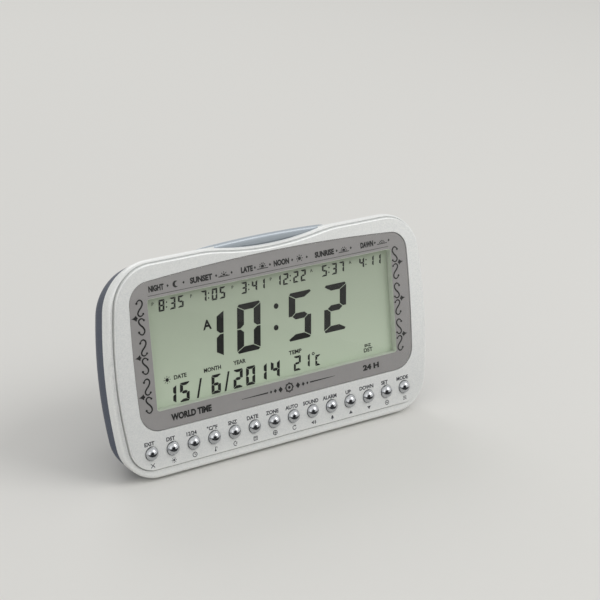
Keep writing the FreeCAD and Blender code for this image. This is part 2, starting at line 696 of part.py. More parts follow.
def front_frame():
    rim = prism(
        case_outline(HALF, FACE_LOW, FACE_HIGH, LOW_CORNER, HIGH_CORNER, RIM_STEP, DIP_DEPTH),
        RIM_DEPTH - RIM_STEP,
    )
    rim = rounded(rim, RIM_ROUND, at_depth(RIM_STEP))
    rim = rim.cut(plateau_block(GROOVE_WIDTH, RIM_STEP + GROOVE_DEPTH))
    plateau = rounded(plateau_block(0.0, RIM_STEP + RIM_ROUND), PLATEAU_ROUND, at_depth(0.0))
    skirt = Part.makeLoft(
        [case_outline(*case_section(y), y) for y in (RIM_DEPTH, FRAME_DEPTH)], True, True
    )
    outside = joined([rim, plateau, skirt])
    cavity = Part.makeLoft(
        [case_outline(*case_section(y, WALL), y) for y in (FACE_WALL, FRAME_DEPTH + BEYOND)],
        True,
        True,
    )
    pocket = prism(lens_outline(LENS_GAP, -BEYOND), POCKET_FLOOR + BEYOND)
    window = window_block(WINDOW_MARGIN, 0.0, FACE_WALL + BEYOND)
    cuts = [cavity, pocket, window, bar_plan(BAR_GAP, 0.0, FACE_HIGH + BEYOND)]
    for x in key_places():
        cuts.append(rod(x, KEY_ROW_Z, -BEYOND, FACE_WALL + BEYOND, KEY_RADIUS + KEY_GAP))
    shell = outside.cut(cuts)

    posts, pilots = [], []
    for x, z in case_screw_places():
        posts.append(rod(x, z, FACE_WALL, FRAME_DEPTH, CASE_POST))
        pilots.append(rod(x, z, FACE_WALL + PILOT_SPARE, FRAME_DEPTH + BEYOND, CASE_SCREW + SCREW_GAP))
    for x, z in board_screw_places():
        posts.append(rod(x, z, FACE_WALL, BOARD_Y, BOARD_POST))
        pilots.append(rod(x, z, FACE_WALL + PILOT_SPARE, BOARD_Y + BEYOND, BOARD_SCREW + SCREW_GAP))
    for x in KEY_POST_X:
        posts.append(rod(x, KEY_POST_Z, FACE_WALL, KEY_BOARD_Y, KEY_POST))
        pilots.append(
            rod(x, KEY_POST_Z, FACE_WALL + PILOT_SPARE, KEY_BOARD_Y + BEYOND, KEY_SCREW + SCREW_GAP)
        )
    return joined([shell, *posts]).cut(pilots)


def case_screw_places():
    heights = FACE_HIGH - CASE_SCREW_TOP, FACE_LOW + CASE_SCREW_FOOT
    return [(side * (HALF - CASE_SCREW_SIDE), z) for side in (-1, 1) for z in heights]


def board_screw_places():
    return [(side * (HALF - BOARD_SCREW_SIDE), z) for side in (-1, 1) for z in ear_heights()]


def ear_heights():
    """The main board's ears lie between the case's screws."""
    top, foot = FACE_HIGH - CASE_SCREW_TOP, FACE_LOW + CASE_SCREW_FOOT
    return top - BOARD_SCREW_STEP, foot + BOARD_SCREW_STEP


# --- rear housing ---------------------------------------------------------------------------------
def housing_block(inset, start, end, shift=0.0):
    """The housing's outer form between two depths, made smaller by an inset; shift moves its taper
    forward."""
    turn = [TAPER_START - shift + TURN_LENGTH * i / TURN_STEPS for i in range(TURN_STEPS + 1)]
    depths = [start, *turn, end]
    wires = [case_outline(*case_section(y + shift, inset), y) for y in depths]
    return Part.makeLoft(wires, True, True)


def housing_inside():
    return housing_block(PARTING_STEP + WALL, FRAME_DEPTH - PAST, BACK_INSIDE, WALL * TAPER_SHIFT)


def housing_ceiling(depth):
    """Height of the housing's inner face above the window's centre."""
    return case_section(depth + WALL * TAPER_SHIFT, PARTING_STEP + WALL)[2]


def housing_lip():
    """A thin ring that reaches into the front frame and centres the two shells."""
    start, end = FRAME_DEPTH - LIP_LENGTH, FRAME_DEPTH + WALL
    section = case_section(FRAME_DEPTH)
    outer_inset, inner_inset = WALL + LIP_GAP, WALL + LIP_GAP + LIP_WALL

    def ring(inset, y0, y1):
        half, low, high, low_corner, high_corner = section
        wire = case_outline(
            half - inset, low + inset, high - inset, low_corner - inset, high_corner - inset, y0
        )
        return prism(wire, y1 - y0)

    lip = ring(outer_inset, start, end).cut(ring(inner_inset, start - BEYOND, end + BEYOND))
    clear = [bar_plan(BAR_GAP + HOOK_REACH + BAR_GAP, 0.0, FACE_HIGH + BEYOND)]
    for x, z in case_screw_places():
        clear.append(rod(x, z, start - BEYOND, FRAME_DEPTH, CASE_POST + LIP_GAP))
    return lip.cut(clear)


def tray_block(grow, y0, y1):
    return block(
        TRAY_X - TRAY_HALF_LENGTH - grow,
        TRAY_X + TRAY_HALF_LENGTH + grow,
        y0,
        y1,
        TRAY_Z - TRAY_HALF_HEIGHT - grow,
        TRAY_Z + TRAY_HALF_HEIGHT + grow,
    )


def door_channel(gap):
    """Space of the sliding door, open to the left, with the grooves for its tongues."""
    right = TRAY_X + TRAY_HALF_LENGTH + DOOR_OVERLAP
    low = TRAY_Z - TRAY_HALF_HEIGHT - DOOR_OVERLAP
    high = TRAY_Z + TRAY_HALF_HEIGHT + DOOR_OVERLAP
    panel = block(-CASE_WIDTH, right + gap, DOOR_Y - gap, CASE_DEPTH + BEYOND, low - gap, high + gap)
    tongues = block(
        -CASE_WIDTH,
        right + gap,
        DOOR_Y - gap,
        DOOR_Y + DOOR_TONGUE_THICK + gap,
        low - DOOR_TONGUE - gap,
        high + DOOR_TONGUE + gap,
    )
    return panel.fuse(tongues)


def door_pad():
    """Thickened back wall that the door's grooves are cut into."""
    box = door_channel(0.0).BoundBox
    grow = DOOR_GAP + DOOR_RAIL
    return block(
        -CASE_WIDTH, box.XMax + grow, CASE_DEPTH - DOOR_PAD, CASE_DEPTH, box.ZMin - grow, box.ZMax + grow
    )


def grille_cut():
    """A round field of level slots with round ends."""
    slots = []
    y0, y1 = BACK_INSIDE - BEYOND, CASE_DEPTH + BEYOND
    for step in range(-GRILLE_STEPS, GRILLE_STEPS + 1):
        rise = step * GRILLE_PITCH
        half = math.sqrt(GRILLE_RADIUS**2 - rise**2)
        x0, x1, z = SPEAKER_X - half, SPEAKER_X + half, SPEAKER_Z + rise
        slots.append(block(x0, x1, y0, y1, z - GRILLE_WIDTH / 2, z + GRILLE_WIDTH / 2))
        slots += [rod(x, z, y0, y1, GRILLE_WIDTH / 2) for x in (x0, x1)]
    return slots


def clip_places():
    turns = [math.radians(angle) for angle in CLIP_ANGLES]
    return [
        (SPEAKER_X + CLIP_RING * math.cos(turn), SPEAKER_Z + CLIP_RING * math.sin(turn)) for turn in turns
    ]


def foot_places():
    """The feet's centres on the case's sloping foot, in the face's frame."""
    return [
        Vector(side * x, y, FACE_LOW + PARTING_STEP + (y - RIM_DEPTH) * LEAN_RISE)
        for x, y in ((HALF - FOOT_SIDE[0], FOOT_FRONT), (HALF - FOOT_SIDE[1], CASE_DEPTH - FOOT_REAR))
        for side in (-1, 1)
    ]


def upward():
    """Straight up for the leaning clock, in the face's frame."""
    return Vector(0, -math.sin(math.radians(LEAN)), math.cos(math.radians(LEAN)))


def foot_rod(place, low, high, radius):
    """A cylinder about the vertical through a foot, between two heights above the case's foot."""
    return Part.makeCylinder(radius, high - low, place + upward() * low, upward())


def shelves():
    """Two shelves with gussets that guide the snooze bar's pegs and carry its springs."""
    shapes = []
    front = BOARD_BACK + SHELF_GAP
    for side in (-1, 1):
        x = side * PEG_X
        shapes.append(
            block(x - SHELF_HALF, x + SHELF_HALF, front, CASE_DEPTH, SHELF_TOP - SHELF_THICK, SHELF_TOP)
        )
        start = PEG_Y + PEG_RADIUS + SHELF_WEB
        low, high = SHELF_TOP - GUSSET_HEIGHT, SHELF_TOP - SHELF_THICK / 2
        shapes.append(block(x - SHELF_WEB / 2, x + SHELF_WEB / 2, start, CASE_DEPTH, low, high))
    return shapes


def plate_slots():
    """Slots in the tray's floor that the contact plates' lugs pass through."""
    slots = []
    x = TRAY_X + TRAY_HALF_LENGTH
    for z in cell_heights():
        slots.append(
            block(
                x - PLATE_THICK - PLATE_GAP,
                x,
                TRAY_FLOOR - TRAY_WALL - BEYOND,
                TRAY_FLOOR + BEYOND,
                z - LUG_WIDTH / 2 - PLATE_GAP,
                z + LUG_WIDTH / 2 + PLATE_GAP,
            )
        )
    return slots


def rear_housing():
    outside = housing_block(PARTING_STEP, FRAME_DEPTH, CASE_DEPTH)
    outside = rounded(outside, BACK_ROUND, at_depth(CASE_DEPTH))
    shell = outside.cut(housing_inside())
    features = [tray_block(TRAY_WALL, TRAY_FLOOR - TRAY_WALL, CASE_DEPTH), door_pad(), *shelves()]
    for x, z in case_screw_places():
        features.append(rod(x, z, FRAME_DEPTH, CASE_SEAT, CASE_POST))
        features.append(rod(x, z, CASE_SEAT - WALL, CASE_DEPTH, CASE_BOSS))
    for x, z in clip_places():
        features.append(rod(x, z, FLANGE_Y, CASE_DEPTH, CLIP_BOSS))
    # what stands inside ends halfway through the wall
    core = housing_block(
        PARTING_STEP + WALL / 2, FRAME_DEPTH, CASE_DEPTH - WALL / 2, WALL / 2 * TAPER_SHIFT
    )
    body = joined([shell, joined(features).common(core), housing_lip()])

    cuts = [
        tray_block(0.0, TRAY_FLOOR, CASE_DEPTH + BEYOND),
        door_channel(DOOR_GAP),
        bar_plan(BAR_GAP, BAR_FOOT - BAR_TRAVEL - BEYOND, FACE_HIGH + BEYOND),
        *grille_cut(),
        *plate_slots(),
    ]
    for x, z in case_screw_places():
        cuts.append(rod(x, z, FRAME_DEPTH - BEYOND, CASE_DEPTH, CASE_BORE))
        cuts.append(rod(x, z, CASE_SEAT, CASE_DEPTH, WELL_RADIUS))
    for x, z in clip_places():
        end = FLANGE_Y + CLIP_SCREW_LENGTH + PILOT_SPARE
        cuts.append(rod(x, z, FLANGE_Y - BEYOND, end, CLIP_SCREW + SCREW_GAP))
    low, high = SHELF_TOP - SHELF_THICK - BEYOND, SHELF_TOP + BEYOND
    for side in (-1, 1):
        cuts.append(post(side * PEG_X, PEG_Y, low, high, PEG_RADIUS + PEG_GAP))
    for place in foot_places():
        cuts.append(foot_rod(place, -BEYOND, FOOT_SUNK, FOOT_RADIUS + FOOT_GAP))
    for cut in cuts:
        body = body.cut(cut)
    return body


# --- window ---------------------------------------------------------------------------------------
def display_lens():
    pane = prism(lens_outline(0.0, LENS_RECESS), LENS_THICK)
    return rounded(pane, LENS_EDGE, at_depth(LENS_RECESS))


def lens_mask():
    start = LENS_RECESS + LENS_THICK
    film = prism(lens_outline(0.0, start), MASK_THICK)
    return film.cut(window_block(0.0, start - PAST, start + MASK_THICK + PAST))


# --- liquid crystal display -----------------------------------------------------------------------
def plate(width, height, y0, thick, z=0.0):
    """A flat rectangular sheet centred on the window."""
    return block(-width / 2, width / 2, y0, y0 + thick, z - height / 2, z + height / 2)


def front_polariser():
    grow = 2 * (WINDOW_MARGIN - POLARISER_GAP)
    return plate(WINDOW_WIDTH + grow, WINDOW_HEIGHT + grow, FACE_WALL - POLARISER_THICK, POLARISER_THICK)


def front_glass():
    return plate(GLASS_WIDTH, FRONT_GLASS_HEIGHT, FACE_WALL, GLASS_THICK)


def rear_glass():
    return plate(GLASS_WIDTH, REAR_GLASS_HEIGHT, REAR_GLASS_Y, GLASS_THICK)


def rear_polariser():
    return plate(GUIDE_WIDTH, GUIDE_HEIGHT, REAR_POLARISER_Y, POLARISER_THICK)


def light_guide():
    return plate(GUIDE_WIDTH, GUIDE_HEIGHT, GUIDE_Y, GUIDE_THICK)


def backlight_leds():
    """One lamp at each end of the light guide."""
    near = GUIDE_WIDTH / 2 + LED_GAP
    lamps = []
    for side in (-1, 1):
        x0, x1 = sorted((side * near, side * (near + LED_WIDTH)))
        lamps.append(block(x0, x1, GUIDE_Y, GUIDE_Y + GUIDE_THICK, -LED_HEIGHT / 2, LED_HEIGHT / 2))
    return Part.makeCompound(lamps)


def zebra_height():
    """Middle of the upper connector: between the rear glass's edge and the holder's wall."""
    return (REAR_GLASS_HEIGHT + FRONT_GLASS_HEIGHT) / 4 + HOLDER_GAP / 2


def zebra_strips():
    strips = []
    for side in (-1, 1):
        z = side * zebra_height()
        strips.append(plate(ZEBRA_LENGTH, ZEBRA_WIDTH, REAR_GLASS_Y, BOARD_Y - REAR_GLASS_Y, z))
    return Part.makeCompound(strips)


def display_holder():
    grow = 2 * HOLDER_GAP
    wall = 2 * HOLDER_WALL
    inner_width, inner_height = GLASS_WIDTH + grow, FRONT_GLASS_HEIGHT + grow
    tub = plate(inner_width + wall, inner_height + wall, FACE_WALL, BOARD_Y - FACE_WALL)
    cuts = [plate(inner_width, inner_height, FACE_WALL, HOLDER_Y - FACE_WALL)]
    for side in (-1, 1):
        z = side * zebra_height()
        length, width = ZEBRA_LENGTH + grow, ZEBRA_WIDTH + grow
        cuts.append(plate(length, width, HOLDER_Y - PAST, HOLDER_BACK + 2 * PAST, z))
    return tub.cut(cuts)


# --- boards ---------------------------------------------------------------------------------------
def main_board():
    sheet = plate(2 * BOARD_HALF_WIDTH, 2 * BOARD_HALF_HEIGHT, BOARD_Y, BOARD_THICK)
    board = [rounded(sheet, BOARD_CORNER, lambda e: e.BoundBox.YLength > BOARD_THICK / 2)]
    for z in ear_heights():
        board.append(plate(CASE_WIDTH - 2 * EAR_MARGIN, EAR_HEIGHT, BOARD_Y, BOARD_THICK, z))
    holes = [rod(x, z, BOARD_Y - PAST, BOARD_BACK + PAST, BOARD_HOLE) for x, z in board_screw_places()]
    return joined(board).cut(holes)


def key_board():
    end = KEY_ROW_HALF + KEY_BOARD_END
    low = KEY_ROW_Z - KEY_BOARD_BELOW
    strip = block(
        KEY_ROW_X - end, KEY_ROW_X + end, KEY_BOARD_Y, KEY_BOARD_BACK, low, KEY_ROW_Z + KEY_BOARD_SHOULDER
    )
    strip = rounded(
        strip,
        KEY_BOARD_CORNER,
        lambda e: e.BoundBox.ZMax < low + 1e-4 and e.BoundBox.XLength < 1e-4,
    )
    half, top = HALF - KEY_BOARD_NECK, KEY_ROW_Z + KEY_BOARD_ABOVE
    neck = block(-half, half, KEY_BOARD_Y, KEY_BOARD_BACK, KEY_ROW_Z, top)
    front, back = KEY_BOARD_Y - PAST, KEY_BOARD_BACK + PAST
    holes = [rod(x, KEY_POST_Z, front, back, KEY_HOLE) for x in KEY_POST_X]
    return joined([strip, neck]).cut(holes)


def key_ribbon():
    """Flat cable that loops from the back of the key board to the back of the main board."""
    x0, x1 = RIBBON_X - RIBBON_WIDTH / 2, RIBBON_X + RIBBON_WIDTH / 2
    back = max(KEY_BOARD_BACK, BOARD_BACK) + RIBBON_REACH
    foot, top = KEY_ROW_Z + RIBBON_RISE, RIBBON_INSET - BOARD_HALF_HEIGHT
    low = block(x0, x1, KEY_BOARD_BACK, back, foot, foot + RIBBON_THICK)
    high = block(x0, x1, BOARD_BACK, back, top - RIBBON_THICK, top)
    bend = block(x0, x1, back - RIBBON_THICK, back, foot, top)
    return joined([low, high, bend])


def chip_blob():
    """The controller under its cap of resin."""
    radius = (BLOB_RADIUS**2 + BLOB_HIGH**2) / (2 * BLOB_HIGH)
    ball = Part.makeSphere(radius, Vector(BLOB_X, BOARD_BACK + BLOB_HIGH - radius, BLOB_Z))
    crown = BOARD_BACK + BLOB_HIGH
    return ball.common(rod(BLOB_X, BLOB_Z, BOARD_BACK, crown + PAST, BLOB_RADIUS + PAST))


def crystal():
    """The clock's quartz in its can, lying on the board."""
    y = BOARD_BACK + CRYSTAL_RADIUS
    start = Vector(CRYSTAL_X, y, CRYSTAL_Z)
    can = Part.makeCylinder(CRYSTAL_RADIUS, CRYSTAL_LENGTH, start, Vector(1, 0, 0))
    return rounded(can, CRYSTAL_ROUND * CRYSTAL_RADIUS, lambda e: e.BoundBox.XLength < 1e-4)


def capacitors():
    cans = []
    z = SPEAKER_Z + CAPACITOR_RISE
    for side in CAPACITOR_SIDE:
        x = SPEAKER_X + side
        top = BOARD_BACK + CAPACITOR_HIGH
        can = rod(x, z, BOARD_BACK, top, CAPACITOR_RADIUS)
        cans.append(rounded(can, CAPACITOR_ROUND * CAPACITOR_RADIUS, at_depth(top)))
    return Part.makeCompound(cans)


def temperature_sensor():
    """A bead on two stiff legs behind the board."""
    x, z = BOARD_HALF_WIDTH - SENSOR_SIDE, SENSOR_RISE - BOARD_HALF_HEIGHT
    bead_y = BOARD_BACK + SENSOR_LEAD_LENGTH
    shapes = [Part.makeSphere(SENSOR_RADIUS, Vector(x, bead_y, z))]
    for side in (-1, 1):
        shapes.append(rod(x + side * SENSOR_LEAD_GAP, z, BOARD_BACK, bead_y, SENSOR_LEAD))
    return joined(shapes)


# --- keys -----------------------------------------------------------------------------------------
def key_cap(x):
    """A domed cap on a short barrel, with a flange behind the face and a stem on to the mat."""
    high = KEY_DOME - KEY_BARREL
    ball = (KEY_RADIUS**2 + high**2) / (2 * high)
    dome = Part.makeSphere(ball, Vector(x, ball - KEY_DOME, KEY_ROW_Z))
    dome = dome.common(rod(x, KEY_ROW_Z, -KEY_DOME - PAST, -KEY_BARREL, KEY_RADIUS + PAST))
    barrel = rod(x, KEY_ROW_Z, -KEY_BARREL, FACE_WALL, KEY_RADIUS)
    flange = rod(x, KEY_ROW_Z, FACE_WALL, FACE_WALL + KEY_FLANGE_THICK, KEY_FLANGE)
    stem = rod(x, KEY_ROW_Z, FACE_WALL + KEY_FLANGE_THICK, MAT_TOP_Y, KEY_STEM)
    return joined([barrel, dome, flange, stem])


def mat_strip():
    end = KEY_ROW_HALF + MAT_END
    strip = block(
        KEY_ROW_X - end,
        KEY_ROW_X + end,
        MAT_SHEET_Y,
        KEY_BOARD_Y,
        KEY_ROW_Z - MAT_HEIGHT / 2,
        KEY_ROW_Z + MAT_HEIGHT / 2,
    )
    return rounded(strip, MAT_CORNER, lambda e: e.BoundBox.YLength > MAT_SHEET / 2)


def keypad_mat():
    """A silicone sheet with one hollow dome under each key."""
    shapes, hollows = [mat_strip()], []
    for x in key_places():
        base, up = Vector(x, MAT_SHEET_Y, KEY_ROW_Z), Vector(0, -1, 0)
        shapes.append(Part.makeCone(MAT_DOME_FOOT, MAT_DOME_TOP, MAT_DOME_HIGH, base, up))
        inner = Part.makeCone(
            MAT_DOME_FOOT - MAT_SKIN, MAT_DOME_TOP - MAT_SKIN, MAT_DOME_HIGH - MAT_SKIN, base, up
        )
        hollows.append(inner)
        hollows.append(rod(x, KEY_ROW_Z, MAT_SHEET_Y, KEY_BOARD_Y + BEYOND, MAT_DOME_FOOT - MAT_SKIN))
    return joined(shapes).cut(hollows)


def contact_pills():
    """The carbon pill under each dome."""
    top = MAT_TOP_Y + MAT_SKIN
    return Part.makeCompound(
        [rod(x, KEY_ROW_Z, top, top + PILL_THICK, PILL_RADIUS) for x in key_places()]
    )


# --- snooze bar -----------------------------------------------------------------------------------
def snooze_bar():
    outer = bar_shell(0.0, 0.0).cut(bar_plan(BEYOND, -FACE_HIGH, BAR_FOOT))
    skin = outer.cut(bar_shell(BAR_WALL, -BAR_WALL))
    hooks_low = hook_top() - HOOK_THICK
    mid = BAR_FRONT + BAR_DEPTH / 2
    shapes = [skin]
    for side in (-1, 1):
        leg = sorted((side * BAR_HALF, side * (BAR_HALF - BAR_WALL)))
        hook = sorted((side * BAR_HALF, side * (BAR_HALF + BAR_GAP + HOOK_REACH)))
        y0, y1 = mid - HOOK_LENGTH / 2, mid + HOOK_LENGTH / 2
        shapes.append(block(leg[0], leg[1], y0, y1, hooks_low, BAR_FOOT + PAST))
        shapes.append(block(hook[0], hook[1], y0, y1, hooks_low, hook_top()))
        shapes.append(post(side * PEG_X, PEG_Y, PEG_FOOT, BAR_CREST, PEG_RADIUS))
        shapes.append(post(side * PEG_X, PEG_Y, PEG_BOSS_FOOT, BAR_CREST, PEG_BOSS))
    shapes.append(post(0.0, SWITCH_MIDDLE, SWITCH_TOP + PLUNGER_STAND, BAR_CREST, RIB_RADIUS))
    room = bar_shell(BAR_WALL / 2, BAR_TRIM).fuse(bar_plan(BEYOND, PEG_FOOT - PAST, BAR_FOOT))
    return joined([skin, joined(shapes[1:]).common(room)])


def hook_top():
    """The hooks catch just under the housing's ceiling."""
    return housing_ceiling(BAR_FRONT + BAR_DEPTH / 2 + HOOK_LENGTH / 2) - HOOK_GAP


def snooze_spring(side):
    spring = coil(SNOOZE_WIRE, SNOOZE_SPRING, PEG_BOSS_FOOT - SHELF_TOP, SNOOZE_TURNS)
    return spring.translated(Vector(side * PEG_X, PEG_Y, SHELF_TOP))


def snooze_switch():
    body = block(
        -SWITCH_WIDTH / 2,
        SWITCH_WIDTH / 2,
        BOARD_BACK,
        BOARD_BACK + SWITCH_DEPTH,
        SWITCH_TOP - SWITCH_HEIGHT,
        SWITCH_TOP,
    )
    depth = PLUNGER_LENGTH - PLUNGER_STAND + BAR_TRAVEL + PLUNGER_GAP
    well = post(
        0.0, SWITCH_MIDDLE, SWITCH_TOP - depth, SWITCH_TOP + BEYOND, PLUNGER_RADIUS + PLUNGER_GAP
    )
    return body.cut(well)


def switch_plunger():
    top = SWITCH_TOP + PLUNGER_STAND
    return post(0.0, SWITCH_MIDDLE, top - PLUNGER_LENGTH, top, PLUNGER_RADIUS)


# --- cells ----------------------------------------------------------------------------------------
def cell_heights():
    step = CELL_RADIUS + CELL_GAP / 2
    return TRAY_Z + step, TRAY_Z - step


def cell(z, side):
    """An AA cell along X whose positive end points to the side given as -1 or 1."""
    plus = TRAY_X + side * (TRAY_HALF_LENGTH - PLATE_THICK)
    axis = Vector(-side, 0, 0)
    nub = Part.makeCylinder(CELL_NUB_RADIUS, CELL_NUB + PAST, Vector(plus, CELL_Y, z), axis)
    body = Part.makeCylinder(CELL_RADIUS, CELL_BODY, Vector(plus - side * CELL_NUB, CELL_Y, z), axis)
    body = rounded(body, CELL_EDGE, lambda e: e.BoundBox.XLength < 1e-4)
    return body.fuse(nub).removeSplitter()


def cell_polarity():
    """The upper cell's positive end points right, the lower one's left."""
    return zip(cell_heights(), (1, -1))


def cell_springs():
    springs = []
    for z, side in cell_polarity():
        spring = coil(CELL_WIRE, CELL_COIL, CELL_SPRING, CELL_TURNS)
        spring.rotate(Vector(), Vector(0, 1, 0), 90 * side)
        x = TRAY_X - side * (TRAY_HALF_LENGTH - PLATE_THICK)
        springs.append(spring.translated(Vector(x, CELL_Y, z)))
    return Part.makeCompound(springs)


def cell_plates():
    """A bridge across both cells on the left and two plates with lugs on the right."""
    upper, lower = cell_heights()
    half = PLATE_WIDTH / 2
    left, right = TRAY_X - TRAY_HALF_LENGTH, TRAY_X + TRAY_HALF_LENGTH
    plates = [block(left, left + PLATE_THICK, CELL_Y - half, CELL_Y + half, lower - half, upper + half)]
    for z in (upper, lower):
        pad = block(right - PLATE_THICK, right, CELL_Y - half, CELL_Y + half, z - half, z + half)
        lug = block(
            right - PLATE_THICK, right, LUG_Y, CELL_Y, z - LUG_WIDTH / 2, z + LUG_WIDTH / 2
        )
        plates.append(joined([pad, lug]))
    return Part.makeCompound(plates)


def battery_door():
    """A panel with a tongue along each edge, shaped to the housing's back where it wraps the side."""
    outside = housing_block(PARTING_STEP, FRAME_DEPTH, CASE_DEPTH)
    outside = rounded(outside, BACK_ROUND, at_depth(CASE_DEPTH))
    door = door_channel(0.0).common(outside)
    ridges = []
    for i in range(GRIP_COUNT):
        x = TRAY_X - GRIP_OFFSET + (i - (GRIP_COUNT - 1) / 2) * GRIP_PITCH
        ridges.append(
            block(
                x - GRIP_WIDTH / 2,
                x + GRIP_WIDTH / 2,
                CASE_DEPTH - DOOR_THICK / 2,
                CASE_DEPTH + GRIP_HIGH,
                TRAY_Z - GRIP_LENGTH / 2,
                TRAY_Z + GRIP_LENGTH / 2,
            )
        )
    return joined([door, *ridges])


# --- loudspeaker ----------------------------------------------------------------------------------
def turned(x, z, points):
    """A solid of revolution about the depth axis through x, z; points are (radius, depth) in order."""
    corners = [Vector(r, y, 0) for r, y in points]
    face = Part.Face(Part.makePolygon(corners + corners[:1]))
    return face.revolve(Vector(0, 0, 0), Vector(0, 1, 0), 360).translated(Vector(x, 0, z))


def speaker_basket():
    """A gasket ring, a flange and a tapered pan, open to the back wall, with a strip for the leads."""
    front = FLANGE_Y - BASKET_DEPTH
    pan = turned(
        SPEAKER_X,
        SPEAKER_Z,
        [
            (POLE_RADIUS, front),
            (BASKET_FOOT, front),
            (PAN_MOUTH, FLANGE_Y),
            (SPEAKER_RADIUS, FLANGE_Y),
            (SPEAKER_RADIUS, BACK_INSIDE),
            (PAN_MOUTH + SPEAKER_SHEET, BACK_INSIDE),
            (PAN_MOUTH + SPEAKER_SHEET, FLANGE_Y + SPEAKER_SHEET),
            (PAN_MOUTH - SPEAKER_SHEET, FLANGE_Y + SPEAKER_SHEET),
            (BASKET_FOOT - SPEAKER_SHEET, front + SPEAKER_SHEET),
            (POLE_RADIUS, front + SPEAKER_SHEET),
        ],
    )
    strip = block(
        SPEAKER_X - STRIP_HALF,
        SPEAKER_X + STRIP_HALF,
        STRIP_Y,
        STRIP_Y + SPEAKER_SHEET,
        SPEAKER_Z + BASKET_FOOT,
        SPEAKER_Z + STRIP_TOP,
    )
    hollow = turned(
        SPEAKER_X,
        SPEAKER_Z,
        [
            (0, front + SPEAKER_SHEET),
            (BASKET_FOOT - SPEAKER_SHEET, front + SPEAKER_SHEET),
            (PAN_MOUTH - SPEAKER_SHEET, FLANGE_Y + SPEAKER_SHEET),
            (0, FLANGE_Y + SPEAKER_SHEET),
        ],
    )
    return joined([pan, strip.cut(hollow)])


def speaker_magnet():
    """The pot behind the pan, with its pole reaching in."""
    front = FLANGE_Y - BASKET_DEPTH
    radius = MAGNET_SHARE * SPEAKER_RADIUS
    pot = rod(SPEAKER_X, SPEAKER_Z, front - MAGNET_DEPTH, front, radius)
    pole = rod(SPEAKER_X, SPEAKER_Z, front, front + SPEAKER_SHEET, POLE_RADIUS)
    return joined([pot, pole])


def speaker_cone():
    """A paper cone with a dust cap, glued to the flange."""
    rim_y = FLANGE_Y + SPEAKER_SHEET
    throat_y = rim_y - CONE_DEPTH
    edge = PAN_MOUTH + SPEAKER_SHEET / 2
    return turned(
        SPEAKER_X,
        SPEAKER_Z,
        [
            (0, throat_y),
            (CAP_RADIUS, throat_y),
            (CONE_EDGE, rim_y),
            (edge, rim_y),
            (edge, rim_y + CONE_THICK),
            (CONE_EDGE - CONE_THICK, rim_y + CONE_THICK),
            (CAP_RADIUS, throat_y + 2 * CONE_THICK),
            (0, throat_y + CAP_RISE * SPEAKER_RADIUS),
        ],
    )


def speaker_clips():
    clips = []
    for (x, z), angle in zip(clip_places(), CLIP_ANGLES):
        near = -(CLIP_LENGTH - CLIP_WIDTH / 2)
        half = CLIP_WIDTH / 2
        strap = block(near, half, FLANGE_Y - CLIP_THICK, FLANGE_Y, -half, half)
        front, back = FLANGE_Y - CLIP_THICK - PAST, FLANGE_Y + PAST
        strap = strap.cut(rod(0, 0, front, back, CLIP_SCREW + SCREW_PLAY))
        strap.rotate(Vector(), Vector(0, 1, 0), -angle)
        clips.append(strap.translated(Vector(x, 0, z)))
    return Part.makeCompound(clips)


# --- fasteners ------------------------------------------------------------------------------------
def screw(x, z, seat, point, radius, head, head_thick, facing):
    """A pan-head screw along the depth. The head lies on the seat; facing is 1 when it looks back."""
    shank = rod(x, z, min(seat, point), max(seat, point), radius)
    crown = seat + facing * head_thick
    top = rod(x, z, min(seat, crown), max(seat, crown), head)
    top = rounded(top, HEAD_ROUND * head_thick, at_depth(crown))
    depth = crown - facing * SLOT_DEPTH
    low, high = min(depth, crown + facing), max(depth, crown + facing)
    reach, half = SLOT_REACH * head, SLOT_WIDTH / 2
    long_slot = block(x - reach, x + reach, low, high, z - half, z + half)
    cross_slot = block(x - half, x + half, low, high, z - reach, z + reach)
    return joined([shank, top]).cut([long_slot, cross_slot])


def case_screws():
    point = FACE_WALL + PILOT_SPARE + SCREW_TIP
    return Part.makeCompound(
        [
            screw(x, z, CASE_SEAT, point, CASE_SCREW, CASE_HEAD, CASE_HEAD_THICK, 1)
            for x, z in case_screw_places()
        ]
    )


def board_screws():
    point = FACE_WALL + PILOT_SPARE + SCREW_TIP
    return Part.makeCompound(
        [
            screw(x, z, BOARD_BACK, point, BOARD_SCREW, BOARD_HEAD, BOARD_HEAD_THICK, 1)
            for x, z in board_screw_places()
        ]
    )


def keyboard_screws():
    point = FACE_WALL + PILOT_SPARE + SCREW_TIP
    return Part.makeCompound(
        [
            screw(x, KEY_POST_Z, KEY_BOARD_BACK, point, KEY_SCREW, KEY_HEAD, KEY_HEAD_THICK, 1)
            for x in KEY_POST_X
        ]
    )


def clip_screws():
    seat = FLANGE_Y - CLIP_THICK
    point = FLANGE_Y + CLIP_SCREW_LENGTH
    return Part.makeCompound(
        [screw(x, z, seat, point, CLIP_SCREW, CLIP_HEAD, CLIP_HEAD_THICK, -1) for x, z in clip_places()]
    )


def rubber_feet():
    feet = []
    for place in foot_places():
        foot = foot_rod(place, FOOT_SUNK - FOOT_HEIGHT, FOOT_SUNK, FOOT_RADIUS)
        low = place + upward() * (FOOT_SUNK - FOOT_HEIGHT)
        feet.append(
            rounded(foot, FOOT_EDGE, lambda e: e.CenterOfMass.distanceToPoint(low) < 1e-3)
        )
    return Part.makeCompound(feet)


